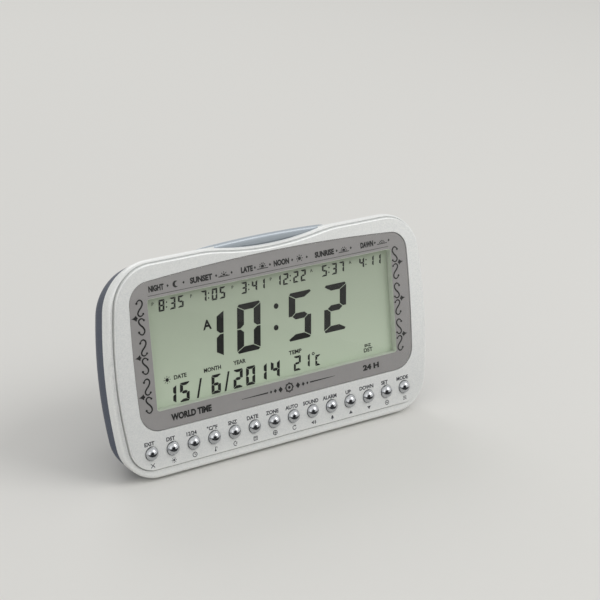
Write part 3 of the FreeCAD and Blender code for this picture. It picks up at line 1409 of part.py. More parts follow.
# --- leads ----------------------------------------------------------------------------------------
def speaker_leads():
    """Two wires from the loudspeaker's strip to the main board."""
    wires = []
    for side in (-1, 1):
        x = SPEAKER_X + side * STRIP_HALF / 2
        z = SPEAKER_Z + STRIP_TOP - 2 * LEAD_RADIUS
        run = (STRIP_Y - BOARD_BACK) / LEAD_RUNS
        wires.append(
            lead(
                [
                    (x, STRIP_Y, z),
                    (x, STRIP_Y - run, z),
                    (x - LEAD_DRIFT, STRIP_Y - 2 * run, z + side * LEAD_SPREAD),
                    (x - LEAD_DRIFT, BOARD_BACK, z + side * LEAD_SPREAD),
                ]
            )
        )
    return Part.makeCompound(wires)


def battery_leads():
    """Two wires from the contact plates' lugs to the main board."""
    wires = []
    x = TRAY_X + TRAY_HALF_LENGTH - PLATE_THICK / 2
    for z in cell_heights():
        run = (LUG_Y - BOARD_BACK) / LEAD_RUNS
        wires.append(
            lead(
                [
                    (x, LUG_Y, z),
                    (x, LUG_Y - run, z),
                    (x - LEAD_DRIFT, LUG_Y - 2 * run, z),
                    (x - LEAD_DRIFT, BOARD_BACK, z),
                ]
            )
        )
    return Part.makeCompound(wires)


# --- the whole clock ------------------------------------------------------------------------------
def pieces():
    """Every piece upright in the face's frame, by node name."""
    made = {
        "front_frame": front_frame(),
        "rear_housing": rear_housing(),
        "display_lens": display_lens(),
        "lens_mask": lens_mask(),
        "front_polariser": front_polariser(),
        "front_glass": front_glass(),
        "rear_glass": rear_glass(),
        "rear_polariser": rear_polariser(),
        "light_guide": light_guide(),
        "backlight_leds": backlight_leds(),
        "zebra_strips": zebra_strips(),
        "display_holder": display_holder(),
        "main_board": main_board(),
        "key_board": key_board(),
        "key_ribbon": key_ribbon(),
        "chip_blob": chip_blob(),
        "crystal": crystal(),
        "capacitors": capacitors(),
        "temperature_sensor": temperature_sensor(),
        "keypad_mat": keypad_mat(),
        "contact_pills": contact_pills(),
        "snooze_bar": snooze_bar(),
        "snooze_spring_left": snooze_spring(-1),
        "snooze_spring_right": snooze_spring(1),
        "snooze_switch": snooze_switch(),
        "switch_plunger": switch_plunger(),
        "battery_door": battery_door(),
        "cell_springs": cell_springs(),
        "cell_plates": cell_plates(),
        "speaker_basket": speaker_basket(),
        "speaker_magnet": speaker_magnet(),
        "speaker_cone": speaker_cone(),
        "speaker_clips": speaker_clips(),
        "case_screws": case_screws(),
        "board_screws": board_screws(),
        "keyboard_screws": keyboard_screws(),
        "clip_screws": clip_screws(),
        "rubber_feet": rubber_feet(),
        "speaker_leads": speaker_leads(),
        "battery_leads": battery_leads(),
    }
    for name, (z, side) in zip(("cell_upper", "cell_lower"), cell_polarity()):
        made[name] = cell(z, side)
    for number, x in enumerate(key_places(), 1):
        made[f"key_cap_{number:02d}"] = key_cap(x)
    return made


def stood_up(made):
    """Leans the clock back and stands it on its feet, with the middle of its depth at the origin."""
    lean = FreeCAD.Rotation(Vector(1, 0, 0), -LEAN)
    sole = lean.multVec(foot_places()[0] + upward() * (FOOT_SUNK - FOOT_HEIGHT))
    leaned = FreeCAD.Placement(Vector(0, 0, -sole.z), lean)
    placed = {}
    for name, shape in made.items():
        copy = shape.copy()
        copy.Placement = leaned.multiply(copy.Placement)
        placed[name] = copy
    boxes = [shape.optimalBoundingBox(False, False) for shape in placed.values()]
    middle = (min(box.YMin for box in boxes) + max(box.YMax for box in boxes)) / 2
    for shape in placed.values():
        shape.translate(Vector(0, -middle, 0))
    return placed, middle, sole.z


if __name__ == "__main__":
    os.makedirs("parts", exist_ok=True)
    placed, middle, sole = stood_up(pieces())
    for name, shape in placed.items():
        shape.exportStep(f"parts/{name}.step")
    print(f"{len(placed)} pieces; the face's frame sits at Y {-middle:.4f}, Z {-sole:.4f}")
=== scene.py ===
import json
import math

import bmesh
import bpy
import numpy as np
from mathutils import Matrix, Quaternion, Vector


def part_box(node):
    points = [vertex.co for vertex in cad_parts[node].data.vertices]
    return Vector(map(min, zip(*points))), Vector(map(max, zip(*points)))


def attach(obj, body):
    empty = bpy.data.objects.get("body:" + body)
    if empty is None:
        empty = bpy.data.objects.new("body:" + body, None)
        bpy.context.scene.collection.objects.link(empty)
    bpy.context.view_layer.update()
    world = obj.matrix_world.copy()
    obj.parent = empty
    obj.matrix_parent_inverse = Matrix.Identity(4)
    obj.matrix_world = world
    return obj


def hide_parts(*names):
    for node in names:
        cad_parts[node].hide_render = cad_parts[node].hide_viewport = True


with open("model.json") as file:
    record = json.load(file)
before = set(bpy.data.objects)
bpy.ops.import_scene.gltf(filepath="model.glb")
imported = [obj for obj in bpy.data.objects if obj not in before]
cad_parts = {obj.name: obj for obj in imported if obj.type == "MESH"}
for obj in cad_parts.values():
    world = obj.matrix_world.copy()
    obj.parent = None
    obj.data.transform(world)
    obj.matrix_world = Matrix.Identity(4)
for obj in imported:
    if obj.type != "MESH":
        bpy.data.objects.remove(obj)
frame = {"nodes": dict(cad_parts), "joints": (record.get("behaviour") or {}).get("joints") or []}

scene = bpy.context.scene
nodes = frame["nodes"]
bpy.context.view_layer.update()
print("clock loaded with", len(nodes), "pieces")

# the face leans back: the way a key is pressed gives inward, and upward follows from it
press = next(joint for joint in frame["joints"] if joint["name"] == "key_01_press")
across = np.array([1.0, 0.0, 0.0])
inward = np.array(press["axis"]) / np.linalg.norm(press["axis"])
upward = np.cross(across, inward)
glassLow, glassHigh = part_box("front_glass")
glassMiddle = 4.15          # mm from the face's front to the middle of the front glass
faceZero = np.array((glassLow + glassHigh) / 2) - inward * glassMiddle / 1000


def onFace(points):
    # face points in mm to metres: zero + x across + y inward + z upward
    return faceZero + np.asarray(points, float) / 1000 @ np.array([across, inward, upward])


def offFace(points):
    # the way back: world points in metres to face points in mm
    return (np.asarray(points, float) - faceZero) * 1000 @ np.array([across, inward, upward]).T


def nodePoints(mesh):
    # a node's vertices as face points
    points = np.empty(len(mesh.vertices) * 3)
    mesh.vertices.foreach_get("co", points)
    return offFace(points.reshape(-1, 3))


# camera, floor and light
shot = {"azimuth": -34.74, "elevation": 19.46, "roll": 0.463, "distance": 0.710,
        "aim": (0.0236, 0.0, 0.0522), "lens": 101.07, "clip": (0.01, 50)}
turn, rise = math.radians(shot["azimuth"]), math.radians(shot["elevation"])
away = Vector((math.sin(turn) * math.cos(rise), -math.cos(turn) * math.cos(rise), math.sin(rise)))
camera = bpy.data.objects.new("camera", bpy.data.cameras.new("camera"))
camera.data.lens = shot["lens"]
camera.data.clip_start, camera.data.clip_end = shot["clip"]
camera.rotation_mode = "QUATERNION"
camera.location = Vector(shot["aim"]) + away * shot["distance"]
tilt = Quaternion((0, 0, 1), math.radians(shot["roll"]))
camera.rotation_quaternion = (-away).to_track_quat("-Z", "Y") @ tilt
scene.collection.objects.link(camera)
scene.camera = camera
scene.view_settings.view_transform = "Standard"


def hexLinear(code):
    # each sRGB channel c becomes c / 12.92 up to 0.04045, and ((c + 0.055) / 1.055) ** 2.4 above
    parts = [int(code[i:i + 2], 16) / 255 for i in (1, 3, 5)]
    return tuple(c / 12.92 if c <= 0.04045 else ((c + 0.055) / 1.055) ** 2.4 for c in parts) + (1.0,)


def addNode(tree, kind, settings=None, links=()):
    # a node of this kind: settings go to its properties or sockets, links are (socket, what feeds it)
    node = tree.nodes.new("ShaderNode" + kind)
    for key, value in (settings or {}).items():
        if isinstance(value, str) and value.startswith("#"):
            value = hexLinear(value)
        if isinstance(key, str) and hasattr(node, key):
            setattr(node, key, value)
        else:
            node.inputs[key].default_value = value
    for socket, source in links:
        tree.links.new(node.inputs[socket], source)
    return node


def perMetre(size):
    # a pattern's scale from its real size in mm
    return 1000 / size


def newFinish(name, colour, settings):
    # a material with its one shader set, and the object's own coordinates for its patterns
    finish = bpy.data.materials.new(name)
    finish.use_nodes = True
    shader = finish.node_tree.nodes["Principled BSDF"]
    shader.inputs["Base Color"].default_value = hexLinear(colour)
    for key, value in settings.items():
        shader.inputs[key].default_value = value
    place = addNode(finish.node_tree, "TexCoord").outputs["Object"]
    return finish, finish.node_tree, shader, place


# each lamp as (power, size, place)
lighting = {"surround": 0.62, "backdrop": "#F2F2F0", "floor": "#E4E3DF", "floorReach": 6, "aim": (0, 0, 0.04),
            "lamps": {"keyLamp": (7.0, 0.9, (0.75, -0.9, 1.15)), "fillLamp": (2.2, 1.2, (-1.2, -1.0, 0.7)),
                      "rimLamp": (3.0, 0.8, (0.3, 1.2, 1.1))}}


def softLamp(name, power, size, place):
    # a square soft box that stands at place and looks at the lighting's aim
    lamp = bpy.data.objects.new(name, bpy.data.lights.new(name, "AREA"))
    lamp.data.energy, lamp.data.size = power, size
    lamp.location = place
    lamp.rotation_mode = "QUATERNION"
    lamp.rotation_quaternion = (Vector(lighting["aim"]) - Vector(place)).to_track_quat("-Z", "Y")
    scene.collection.objects.link(lamp)


for name, (power, size, place) in lighting["lamps"].items():
    softLamp(name, power, size, place)

world = bpy.data.worlds.new("studio")
world.use_nodes = True
air = world.node_tree
air.nodes.clear()
rays = addNode(air, "LightPath").outputs
seen = addNode(air, "Math", {"operation": "MAXIMUM"},
               [(0, rays["Is Camera Ray"]), (1, rays["Is Glossy Ray"])]).outputs[0]
seen = addNode(air, "Math", {"operation": "MAXIMUM"},
               [(0, seen), (1, rays["Is Transmission Ray"])]).outputs[0]
lightAir = addNode(air, "Background", {"Color": "#FFFFFF", "Strength": lighting["surround"]})
shownAir = addNode(air, "Background", {"Color": lighting["backdrop"], "Strength": 1.0})
mixAir = addNode(air, "MixShader", {}, [("Fac", seen), (1, lightAir.outputs[0]), (2, shownAir.outputs[0])])
addNode(air, "OutputWorld", {}, [("Surface", mixAir.outputs[0])])
scene.world = world

# a pale matt floor that takes the soft shadow
floorMesh = bpy.data.meshes.new("floor")
reach = lighting["floorReach"]
floorMesh.from_pydata([(-reach, -reach, 0), (reach, -reach, 0), (reach, reach, 0), (-reach, reach, 0)], [],
                      [(0, 1, 2, 3)])
floor = bpy.data.objects.new("floor", floorMesh)
floorFinish = newFinish("paleFloor", lighting["floor"], {"Roughness": 0.9, "Specular IOR Level": 0.0})[0]
floorMesh.materials.append(floorFinish)
scene.collection.objects.link(floor)

# two dark cards that only mirrors see: they give the plated keys something to contrast with
cards = {"flat": [(-1.3, -1.5, 0.0006), (0.5, -1.6, 0.0006), (0.14, -0.04, 0.0006), (-0.2, -0.04, 0.0006)],
         "upright": [(-1.3, -1.45, 0), (0.5, -1.6, 0), (0.5, -1.6, 1.15), (-1.3, -1.45, 1.15)]}
cardFinish = newFinish("darkCard", "#1C1E20", {"Roughness": 0.9})[0]
for name, corners in cards.items():
    cardMesh = bpy.data.meshes.new(name + "Card")
    cardMesh.from_pydata(corners, [], [(0, 1, 2, 3)])
    cardMesh.materials.append(cardFinish)
    card = bpy.data.objects.new(name + "Card", cardMesh)
    card.visible_camera = card.visible_diffuse = card.visible_shadow = card.visible_transmission = False
    scene.collection.objects.link(card)
print("camera, floor and lamps placed")


def mouldedFinish(name, colour, dark, patch, grain, depth, rough, settings=None):
    # colour drifts to dark over patches of patch mm, roughness runs between the two in rough,
    # and fine pits of grain mm are depth mm deep
    finish, tree, shader, place = newFinish(name, colour, settings or {})
    drift = addNode(tree, "TexNoise", {"Scale": perMetre(patch), "Detail": 3.0}, [("Vector", place)])
    tint = addNode(tree, "Mix", {"data_type": "RGBA", 6: colour, 7: dark}, [(0, drift.outputs[0])])
    tree.links.new(shader.inputs["Base Color"], tint.outputs[2])
    pits = addNode(tree, "TexNoise", {"Scale": perMetre(grain), "Detail": 2.0}, [("Vector", place)])
    span = {"From Min": 0.3, "From Max": 0.7, "To Min": rough[0], "To Max": rough[1]}
    worn = addNode(tree, "MapRange", span, [("Value", pits.outputs[0])])
    tree.links.new(shader.inputs["Roughness"], worn.outputs[0])
    relief = addNode(tree, "Bump", {"Strength": 1.0, "Distance": depth / 1000}, [("Height", pits.outputs[0])])
    tree.links.new(shader.inputs["Normal"], relief.outputs[0])
    return finish


# silver lacquer sprayed on ABS: small metal flakes under a satin clear coat, which give a soft sparkle
silverLook = {"colour": "#F0F1EF", "dark": "#E6E8E7", "flake": 0.45, "rough": (0.36, 0.48)}
silverPaint, tree, shader, place = newFinish("silverLacquer", silverLook["colour"],
                                             {"Metallic": 0.3, "Coat Weight": 0.3, "Coat Roughness": 0.25})
flakes = addNode(tree, "TexVoronoi", {"Scale": perMetre(silverLook["flake"])}, [("Vector", place)])
flakeTone = addNode(tree, "SeparateColor", {}, [("Color", flakes.outputs["Color"])])
tint = addNode(tree, "Mix", {"data_type": "RGBA", 6: silverLook["dark"], 7: silverLook["colour"]},
               [(0, flakeTone.outputs[0])])
tree.links.new(shader.inputs["Base Color"], tint.outputs[2])
sheen = addNode(tree, "MapRange", {"To Min": silverLook["rough"][0], "To Max": silverLook["rough"][1]},
                [("Value", flakeTone.outputs[1])])
tree.links.new(shader.inputs["Roughness"], sheen.outputs[0])
relief = addNode(tree, "Bump", {"Strength": 0.3, "Distance": 0.00001}, [("Height", flakeTone.outputs[2])])
tree.links.new(shader.inputs["Normal"], relief.outputs[0])

# ABS moulded against a spark-eroded tool: a fine matt grain that softens every highlight
slateAbs = mouldedFinish("grainedSlateAbs", "#464E5F", "#404757", 9.0, 0.5, 0.05, (0.42, 0.58))
# pearl pigment in ABS: a cool blue-grey with a low gloss
pearlAbs = mouldedFinish("pearlBlueAbs", "#AAB2B9", "#A0A9B1", 7.0, 0.6, 0.01, (0.28, 0.36),
                         {"Metallic": 0.25, "Coat Weight": 0.3, "Coat Roughness": 0.2})
# natural white ABS: plain, a little translucent looking, with faint flow marks
whiteAbs = mouldedFinish("whiteAbs", "#E6E4DC", "#DCD9CF", 12.0, 0.8, 0.01, (0.4, 0.5))
# satin chrome plated on ABS: mirrors its surroundings with a slight blur
platedAbs = mouldedFinish("chromePlatedAbs", "#C4C6C9", "#B8BABE", 2.0, 0.5, 0.003, (0.13, 0.2),
                          {"Metallic": 1.0})
# ink screen printed on the back of the lens: dead even, with the faint mottle of the mesh
warmGreyInk = mouldedFinish("warmGreyInk", "#959392", "#8F8D8C", 3.0, 0.35, 0.004, (0.5, 0.6))
darkInk = mouldedFinish("darkInk", "#1A1A1A", "#202020", 2.0, 0.3, 0.002, (0.55, 0.65))
# pad-printed legends on the silver face: thin grey ink
legendInk = mouldedFinish("legendInk", "#43454B", "#3C3E44", 2.0, 0.3, 0.002, (0.55, 0.65))
# closed-cell foam, cut to a frame: pale, dull, with fine pores
gasketFoam = mouldedFinish("paleGasketFoam", "#C6CDC0", "#BBC3B5", 2.0, 0.25, 0.02, (0.7, 0.85))
# liquid crystal turned dark between the polarisers: near black with a green cast, no gloss
segmentInk = mouldedFinish("darkCrystal", "#10110F", "#141512", 2.0, 0.3, 0.0, (0.5, 0.6))
# brushed foil under the rear polariser: a broad, soft mirror
foil = mouldedFinish("reflectorFoil", "#C8CBC6", "#BCC0BA", 4.0, 0.3, 0.003, (0.3, 0.4), {"Metallic": 0.9})
# acrylic with a frosted face: milky, it spreads the lamps' light
frostedAcrylic = mouldedFinish("frostedAcrylic", "#E8F0EA", "#DFE9E2", 6.0, 0.3, 0.01, (0.35, 0.5),
                               {"Transmission Weight": 0.5, "IOR": 1.49})
# lamp resin: a warm amber that lets some light through
lampResin = mouldedFinish("lampResin", "#EBDD9A", "#E2D28A", 1.0, 0.2, 0.004, (0.2, 0.3),
                          {"Transmission Weight": 0.3, "IOR": 1.5})
# black epoxy: smooth, with a small sharp highlight
blackResin = mouldedFinish("blackEpoxy", "#1B1B1C", "#141415", 2.0, 0.4, 0.01, (0.2, 0.35))
# silicone, carbon and natural rubber: from soft grey to a flat black that hardly answers light
siliconeRubber = mouldedFinish("greySilicone", "#9FA3A3", "#959999", 5.0, 0.4, 0.01, (0.5, 0.62))
carbonRubber = mouldedFinish("carbonRubber", "#202021", "#29292A", 0.8, 0.2, 0.01, (0.6, 0.75))
footRubber = mouldedFinish("footRubber", "#2A2A2B", "#232324", 2.0, 0.35, 0.02, (0.65, 0.8))
# layered strip rubber: dark, with the finest mottle
elastomer = mouldedFinish("stripElastomer", "#3A3A3D", "#2C2C2E", 1.0, 0.25, 0.004, (0.5, 0.6))
# pressed paper: fibrous and quite without shine
paper = mouldedFinish("pressedPaper", "#35322E", "#2A2825", 1.5, 0.3, 0.03, (0.8, 0.95))
# polyester and vinyl skins: even colours with a waxy sheen
cableFilm = mouldedFinish("flatCableFilm", "#D8D2C2", "#CFC8B6", 1.0, 0.3, 0.004, (0.4, 0.5))
leadVinyl = mouldedFinish("redLeadVinyl", "#A7261F", "#971F1A", 1.5, 0.3, 0.004, (0.35, 0.45))
sleeveVinyl = mouldedFinish("capacitorSleeve", "#23305A", "#1D294E", 2.0, 0.3, 0.004, (0.3, 0.4))


def metalFinish(name, colour, dark, patch, rough):
    # bare metal: tone and roughness drift together over patches of patch mm
    finish, tree, shader, place = newFinish(name, colour, {"Metallic": 1.0})
    drift = addNode(tree, "TexNoise", {"Scale": perMetre(patch), "Detail": 4.0}, [("Vector", place)])
    tint = addNode(tree, "Mix", {"data_type": "RGBA", 6: colour, 7: dark}, [(0, drift.outputs[0])])
    tree.links.new(shader.inputs["Base Color"], tint.outputs[2])
    worn = addNode(tree, "MapRange", {"To Min": rough[0], "To Max": rough[1]}, [("Value", drift.outputs[0])])
    tree.links.new(shader.inputs["Roughness"], worn.outputs[0])
    return finish


# nickel warm and bright, spring wire cooler, zinc bluish and patchy, screw steel the darkest
nickelPlate = metalFinish("nickelPlate", "#C9C6BD", "#B5B2A8", 1.5, (0.2, 0.35))
springSteel = metalFinish("springSteel", "#B2B4B6", "#9DA0A3", 0.8, (0.25, 0.4))
zincSteel = metalFinish("zincSteel", "#A9AEB2", "#90969B", 2.5, (0.3, 0.5))
screwSteel = metalFinish("screwSteel", "#8F9194", "#74777A", 1.0, (0.3, 0.45))


def clearFinish(name, tint, ior, rough):
    # a clear sheet: light passes straight through tint, and fresnel by ior adds the shine outside
    finish = bpy.data.materials.new(name)
    finish.use_nodes = True
    tree = finish.node_tree
    tree.nodes.clear()
    pane = addNode(tree, "BsdfTransparent", {"Color": tint})
    gloss = addNode(tree, "BsdfGlossy", {"Color": "#FFFFFF", "Roughness": rough})
    edge = addNode(tree, "Fresnel", {"IOR": ior})
    inner = addNode(tree, "NewGeometry").outputs["Backfacing"]
    outer = addNode(tree, "Math", {"operation": "SUBTRACT", 0: 1.0}, [(1, inner)])
    share = addNode(tree, "Math", {"operation": "MULTIPLY"}, [(0, edge.outputs[0]), (1, outer.outputs[0])])
    both = addNode(tree, "MixShader", {},
                   [("Fac", share.outputs[0]), (1, pane.outputs[0]), (2, gloss.outputs[0])])
    addNode(tree, "OutputMaterial", {}, [("Surface", both.outputs[0])])
    return finish


# acrylic without a tint and with a weak shine, glass with a trace of green and a stronger one
clearAcrylic = clearFinish("clearAcrylic", "#FFFFFF", 1.27, 0.03)
displayGlass = clearFinish("displayGlass", "#F4FAF5", 1.52, 0.01)

# matt polariser over liquid crystal: grey green with painted shade, darker towards the top and lighter
# towards the foot, with a very fine haze
screenLook = {"top": "#9FA997", "foot": "#BECBB6", "haze": 0.4, "rough": (0.5, 0.62)}
screenFilm, tree, shader, place = newFinish("mattPolariser", screenLook["foot"], {"Specular IOR Level": 0.3})
height = addNode(tree, "SeparateXYZ", {}, [(0, place)]).outputs[2]
screenLow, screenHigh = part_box("front_polariser")
# painted shade: the film's colour runs from the lighter foot to the darker top over its height
shadeClimb = addNode(tree, "MapRange", {"From Min": screenLow.z, "From Max": screenHigh.z}, [("Value", height)])
tint = addNode(tree, "Mix", {"data_type": "RGBA", 6: screenLook["foot"], 7: screenLook["top"]},
               [(0, shadeClimb.outputs[0])])
tree.links.new(shader.inputs["Base Color"], tint.outputs[2])
haze = addNode(tree, "TexNoise", {"Scale": perMetre(screenLook["haze"])}, [("Vector", place)])
worn = addNode(tree, "MapRange", {"To Min": screenLook["rough"][0], "To Max": screenLook["rough"][1]},
               [("Value", haze.outputs[0])])
tree.links.new(shader.inputs["Roughness"], worn.outputs[0])

# glass epoxy board under green solder mask: copper runs show as paler bands 5.0 mm apart, because
# a wave takes 20 radians to a unit, which makes it grid * turn * 2 pi / 20
boardLook = {"mask": "#1F6B3E", "run": "#2F8550", "grid": 2.54, "turn": 6.2832}
boardGreen, tree, shader, place = newFinish("greenCircuitBoard", boardLook["mask"],
                                            {"Coat Weight": 0.4, "Roughness": 0.35})
laneScale = perMetre(boardLook["grid"]) / boardLook["turn"]
lanes = addNode(tree, "TexWave", {"wave_type": "BANDS", "bands_direction": "X", "Scale": laneScale,
                                  "Distortion": 3.0, "Detail": 0.0}, [("Vector", place)])
runs = addNode(tree, "MapRange", {"From Min": 0.6, "From Max": 0.66}, [("Value", lanes.outputs[0])])
tint = addNode(tree, "Mix", {"data_type": "RGBA", 6: boardLook["mask"], 7: boardLook["run"]},
               [(0, runs.outputs[0])])
tree.links.new(shader.inputs["Base Color"], tint.outputs[2])
relief = addNode(tree, "Bump", {"Strength": 0.5, "Distance": 0.00003}, [("Height", runs.outputs[0])])
tree.links.new(shader.inputs["Normal"], relief.outputs[0])

# printed foil round a cell: a dark sleeve, a coppery shoulder at the plus end
cellLook = {"sleeve": "#2B2D33", "shoulder": "#B87A3C", "shoulderLength": 14, "patch": 3.0,
            "rough": (0.24, 0.38)}


def cellFinish(name, node, plusRight):
    # the sleeve turns to the shoulder colour over shoulderLength from the plus end, along x
    finish, tree, shader, place = newFinish(name, cellLook["sleeve"], {"Metallic": 0.6})
    low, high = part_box(node)
    reach = cellLook["shoulderLength"] / 1000
    start = high.x - reach if plusRight else low.x + reach
    along = addNode(tree, "SeparateXYZ", {}, [(0, place)]).outputs[0]
    beyond = "GREATER_THAN" if plusRight else "LESS_THAN"
    past = addNode(tree, "Math", {"operation": beyond, 1: start}, [(0, along)])
    tint = addNode(tree, "Mix", {"data_type": "RGBA", 6: cellLook["sleeve"], 7: cellLook["shoulder"]},
                   [(0, past.outputs[0])])
    tree.links.new(shader.inputs["Base Color"], tint.outputs[2])
    drift = addNode(tree, "TexNoise", {"Scale": perMetre(cellLook["patch"])}, [("Vector", place)])
    worn = addNode(tree, "MapRange", {"To Min": cellLook["rough"][0], "To Max": cellLook["rough"][1]},
                   [("Value", drift.outputs[0])])
    tree.links.new(shader.inputs["Roughness"], worn.outputs[0])
    return finish


wears = {
    "front_frame": silverPaint, "rear_housing": slateAbs, "battery_door": slateAbs,
    "display_lens": clearAcrylic, "lens_mask": warmGreyInk, "front_polariser": screenFilm,
    "front_glass": displayGlass, "rear_glass": displayGlass, "rear_polariser": foil,
    "light_guide": frostedAcrylic, "backlight_leds": lampResin, "zebra_strips": elastomer,
    "display_holder": whiteAbs, "main_board": boardGreen, "key_board": boardGreen, "key_ribbon": cableFilm,
    "chip_blob": blackResin, "crystal": nickelPlate, "capacitors": sleeveVinyl,
    "temperature_sensor": blackResin, "keypad_mat": siliconeRubber, "contact_pills": carbonRubber,
    "snooze_bar": pearlAbs, "snooze_spring_left": springSteel, "snooze_spring_right": springSteel,
    "snooze_switch": blackResin, "switch_plunger": whiteAbs, "cell_springs": springSteel,
    "cell_plates": nickelPlate, "speaker_basket": zincSteel, "speaker_magnet": zincSteel,
    "speaker_cone": paper, "speaker_clips": zincSteel, "case_screws": screwSteel,
    "board_screws": screwSteel, "keyboard_screws": screwSteel, "clip_screws": screwSteel,
    "rubber_feet": footRubber, "speaker_leads": leadVinyl, "battery_leads": leadVinyl,
    "cell_upper": cellFinish("upperCellSleeve", "cell_upper", True),
    "cell_lower": cellFinish("lowerCellSleeve", "cell_lower", False),
}
wears.update({f"key_cap_{number:02d}": platedAbs for number in range(1, 15)})
for name, finish in wears.items():
    for slot in nodes[name].material_slots:
        slot.material = finish
print("finishes given to", len(wears), "pieces")


# flat shapes on the face: outlines in mm, x across and z up

def turnedPositive(outline):
    # the outline, reversed where its signed area is negative
    x, z = np.asarray(outline, float).T
    signedArea = np.sum(x * np.roll(z, -1) - z * np.roll(x, -1)) / 2
    return np.asarray(outline, float)[:: 1 if signedArea > 0 else -1]


def plate(outline, front, thick):
    # a closed prism: the outline at depth front, the same turned round at front + thick, a wall per edge
    flat = turnedPositive(outline)
    count = len(flat)
    depth = np.repeat([front, front + thick], count)
    points = np.column_stack([np.tile(flat[:, 0], 2), depth, np.tile(flat[:, 1], 2)])
    here = np.arange(count)
    ahead = (here + 1) % count
    walls = np.column_stack([here, here + count, ahead + count, ahead])
    return points, [here.tolist(), (here[::-1] + count).tolist()] + walls.tolist()


def ribbon(path, half, front, thick, closed=False):
    # a flat band: each path point moved half to both sides along its normal, as a closed strip of quads
    path = np.asarray(path, float)
    half = np.broadcast_to(half, len(path))
    if closed:
        step = np.roll(path, -1, 0) - np.roll(path, 1, 0)
    else:
        step = np.gradient(path, axis=0)
    step /= np.linalg.norm(step, axis=1)[:, None]
    side = np.column_stack([-step[:, 1], step[:, 0]]) * half[:, None]
    flat = np.concatenate([path + side, path - side])
    count = len(path)
    points = np.concatenate([np.insert(flat, 1, front, 1), np.insert(flat, 1, front + thick, 1)])
    here = np.arange(count if closed else count - 1)
    ahead = (here + 1) % count
    left, right = here, here + count
    leftAhead, rightAhead = ahead, ahead + count
    back = 2 * count
    faces = [np.column_stack([right, rightAhead, leftAhead, left]),
             np.column_stack([left, leftAhead, rightAhead, right]) + back,
             np.column_stack([right, right + back, rightAhead + back, rightAhead]),
             np.column_stack([leftAhead, leftAhead + back, left + back, left])]
    if not closed:
        last = count - 1
        faces.append(np.array([[0, back, back + count, count],
                               [last + count, last + count + back, last + back, last]]))
    return points, np.concatenate(faces).tolist()


def circlePath(centre, radius, sides=32):
    # points round a circle: centre + radius * (cos, sin)
    turn = np.arange(sides) * 2 * np.pi / sides
    return np.column_stack([centre[0] + radius * np.cos(turn), centre[1] + radius * np.sin(turn)])


def disc(centre, radius, front, thick, sides=24):
    # a circle's points made a plate
    return plate(circlePath(centre, radius, sides), front, thick)


lettering = {"half": 0.5, "curveSteps": 3, "merge": 0.0005}


def letters(text, weight=0.0):
    # the built-in typeface as closed letters twice half thick, outlines grown by weight, doubles merged
    curve = bpy.data.curves.new("letters", "FONT")
    curve.body, curve.extrude, curve.offset = text, lettering["half"], weight
    curve.resolution_u, curve.align_x = lettering["curveSteps"], "CENTER"
    carrier = bpy.data.objects.new("letters", curve)
    mesh = bpy.data.meshes.new_from_object(carrier)
    shape = bmesh.new()
    shape.from_mesh(mesh)
    bmesh.ops.remove_doubles(shape, verts=shape.verts, dist=lettering["merge"])
    bmesh.ops.recalc_face_normals(shape, faces=shape.faces)
    shape.to_mesh(mesh)
    shape.free()
    points = np.empty(len(mesh.vertices) * 3)
    mesh.vertices.foreach_get("co", points)
    points = points.reshape(-1, 3)
    faces = [list(polygon.vertices) for polygon in mesh.polygons]
    bpy.data.objects.remove(carrier)
    bpy.data.curves.remove(curve)
    bpy.data.meshes.remove(mesh)
    return points, faces


capitalHeight = np.ptp(letters("H")[0][:, 1])


def words(text, centre, height, front, thick, width=None, weight=0.0):
    # a line of letters: x and z scaled to height, x stretched to width where one is given
    points, faces = letters(text, weight)
    scale = height / capitalHeight
    x = (points[:, 0] - (points[:, 0].max() + points[:, 0].min()) / 2) * scale
    if width:
        x *= width / np.ptp(x)
    z = points[:, 1] * scale - height / 2
    y = front + (lettering["half"] - points[:, 2]) * thick
    return np.column_stack([x + centre[0], y, z + centre[1]]), faces


def newPiece(name, shapes, finish, body, shift=(0.0, 0.0)):
    # one object from (points in face mm, faces) shapes moved by shift, riding on body
    points, faces, count = [], [], 0
    for some, polygons in shapes:
        points.append(some)
        faces += [[i + count for i in polygon] for polygon in polygons]
        count += len(some)
    mesh = bpy.data.meshes.new(name)
    mesh.from_pydata(onFace(np.concatenate(points) + (shift[0], 0, shift[1])).tolist(), [], faces)
    mesh.update()
    mesh.materials.append(finish)
    piece = bpy.data.objects.new(name, mesh)
    scene.collection.objects.link(piece)
    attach(piece, body)
    return piece


# the display's figures: sizes in mm, each figure with the place of its left edge
film = {"front": 3.36, "thick": 0.03, "shift": (1.3, -0.9), "shoulder": 0.3, "slant": 0.085}
bigTime = {"width": 11.2, "height": 20.0, "upright": 3.25, "level": 2.55, "gap": 0.22, "base": -7.2,
           "figures": (("1", -37.6), ("0", -20.0), ("5", 5.0), ("2", 22.8)),
           "colonAt": -1.2, "dot": 1.15, "dotLevels": (7.2, 16.1)}
smallTime = {"width": 2.6, "height": 4.7, "upright": 0.82, "level": 0.7, "gap": 0.06, "base": 16.8,
             "pitch": 3.7, "colon": 1.3, "spare": 0.4, "dotAside": 0.15, "dot": 0.32,
             "dotLevels": (1.35, 3.3),
             "times": (("8:35", -48.1), ("7:05", -28.9), ("3:41", -10.0), ("12:22", 8.3), ("5:37", 29.5),
                       ("4:11", 48.6))}
dateRow = {"width": 4.4, "height": 7.8, "upright": 1.4, "level": 1.2, "gap": 0.09, "base": -21.1,
           "figures": (("1", -54.2), ("5", -48.1), ("6", -33.5), ("2", -23.1), ("0", -17.1), ("1", -11.5),
                       ("4", -5.1)),
           "slashes": (-40.4, -27.4), "slash": [(0, 0), (0.9, 0), (3.1, 7.8), (2.2, 7.8)]}
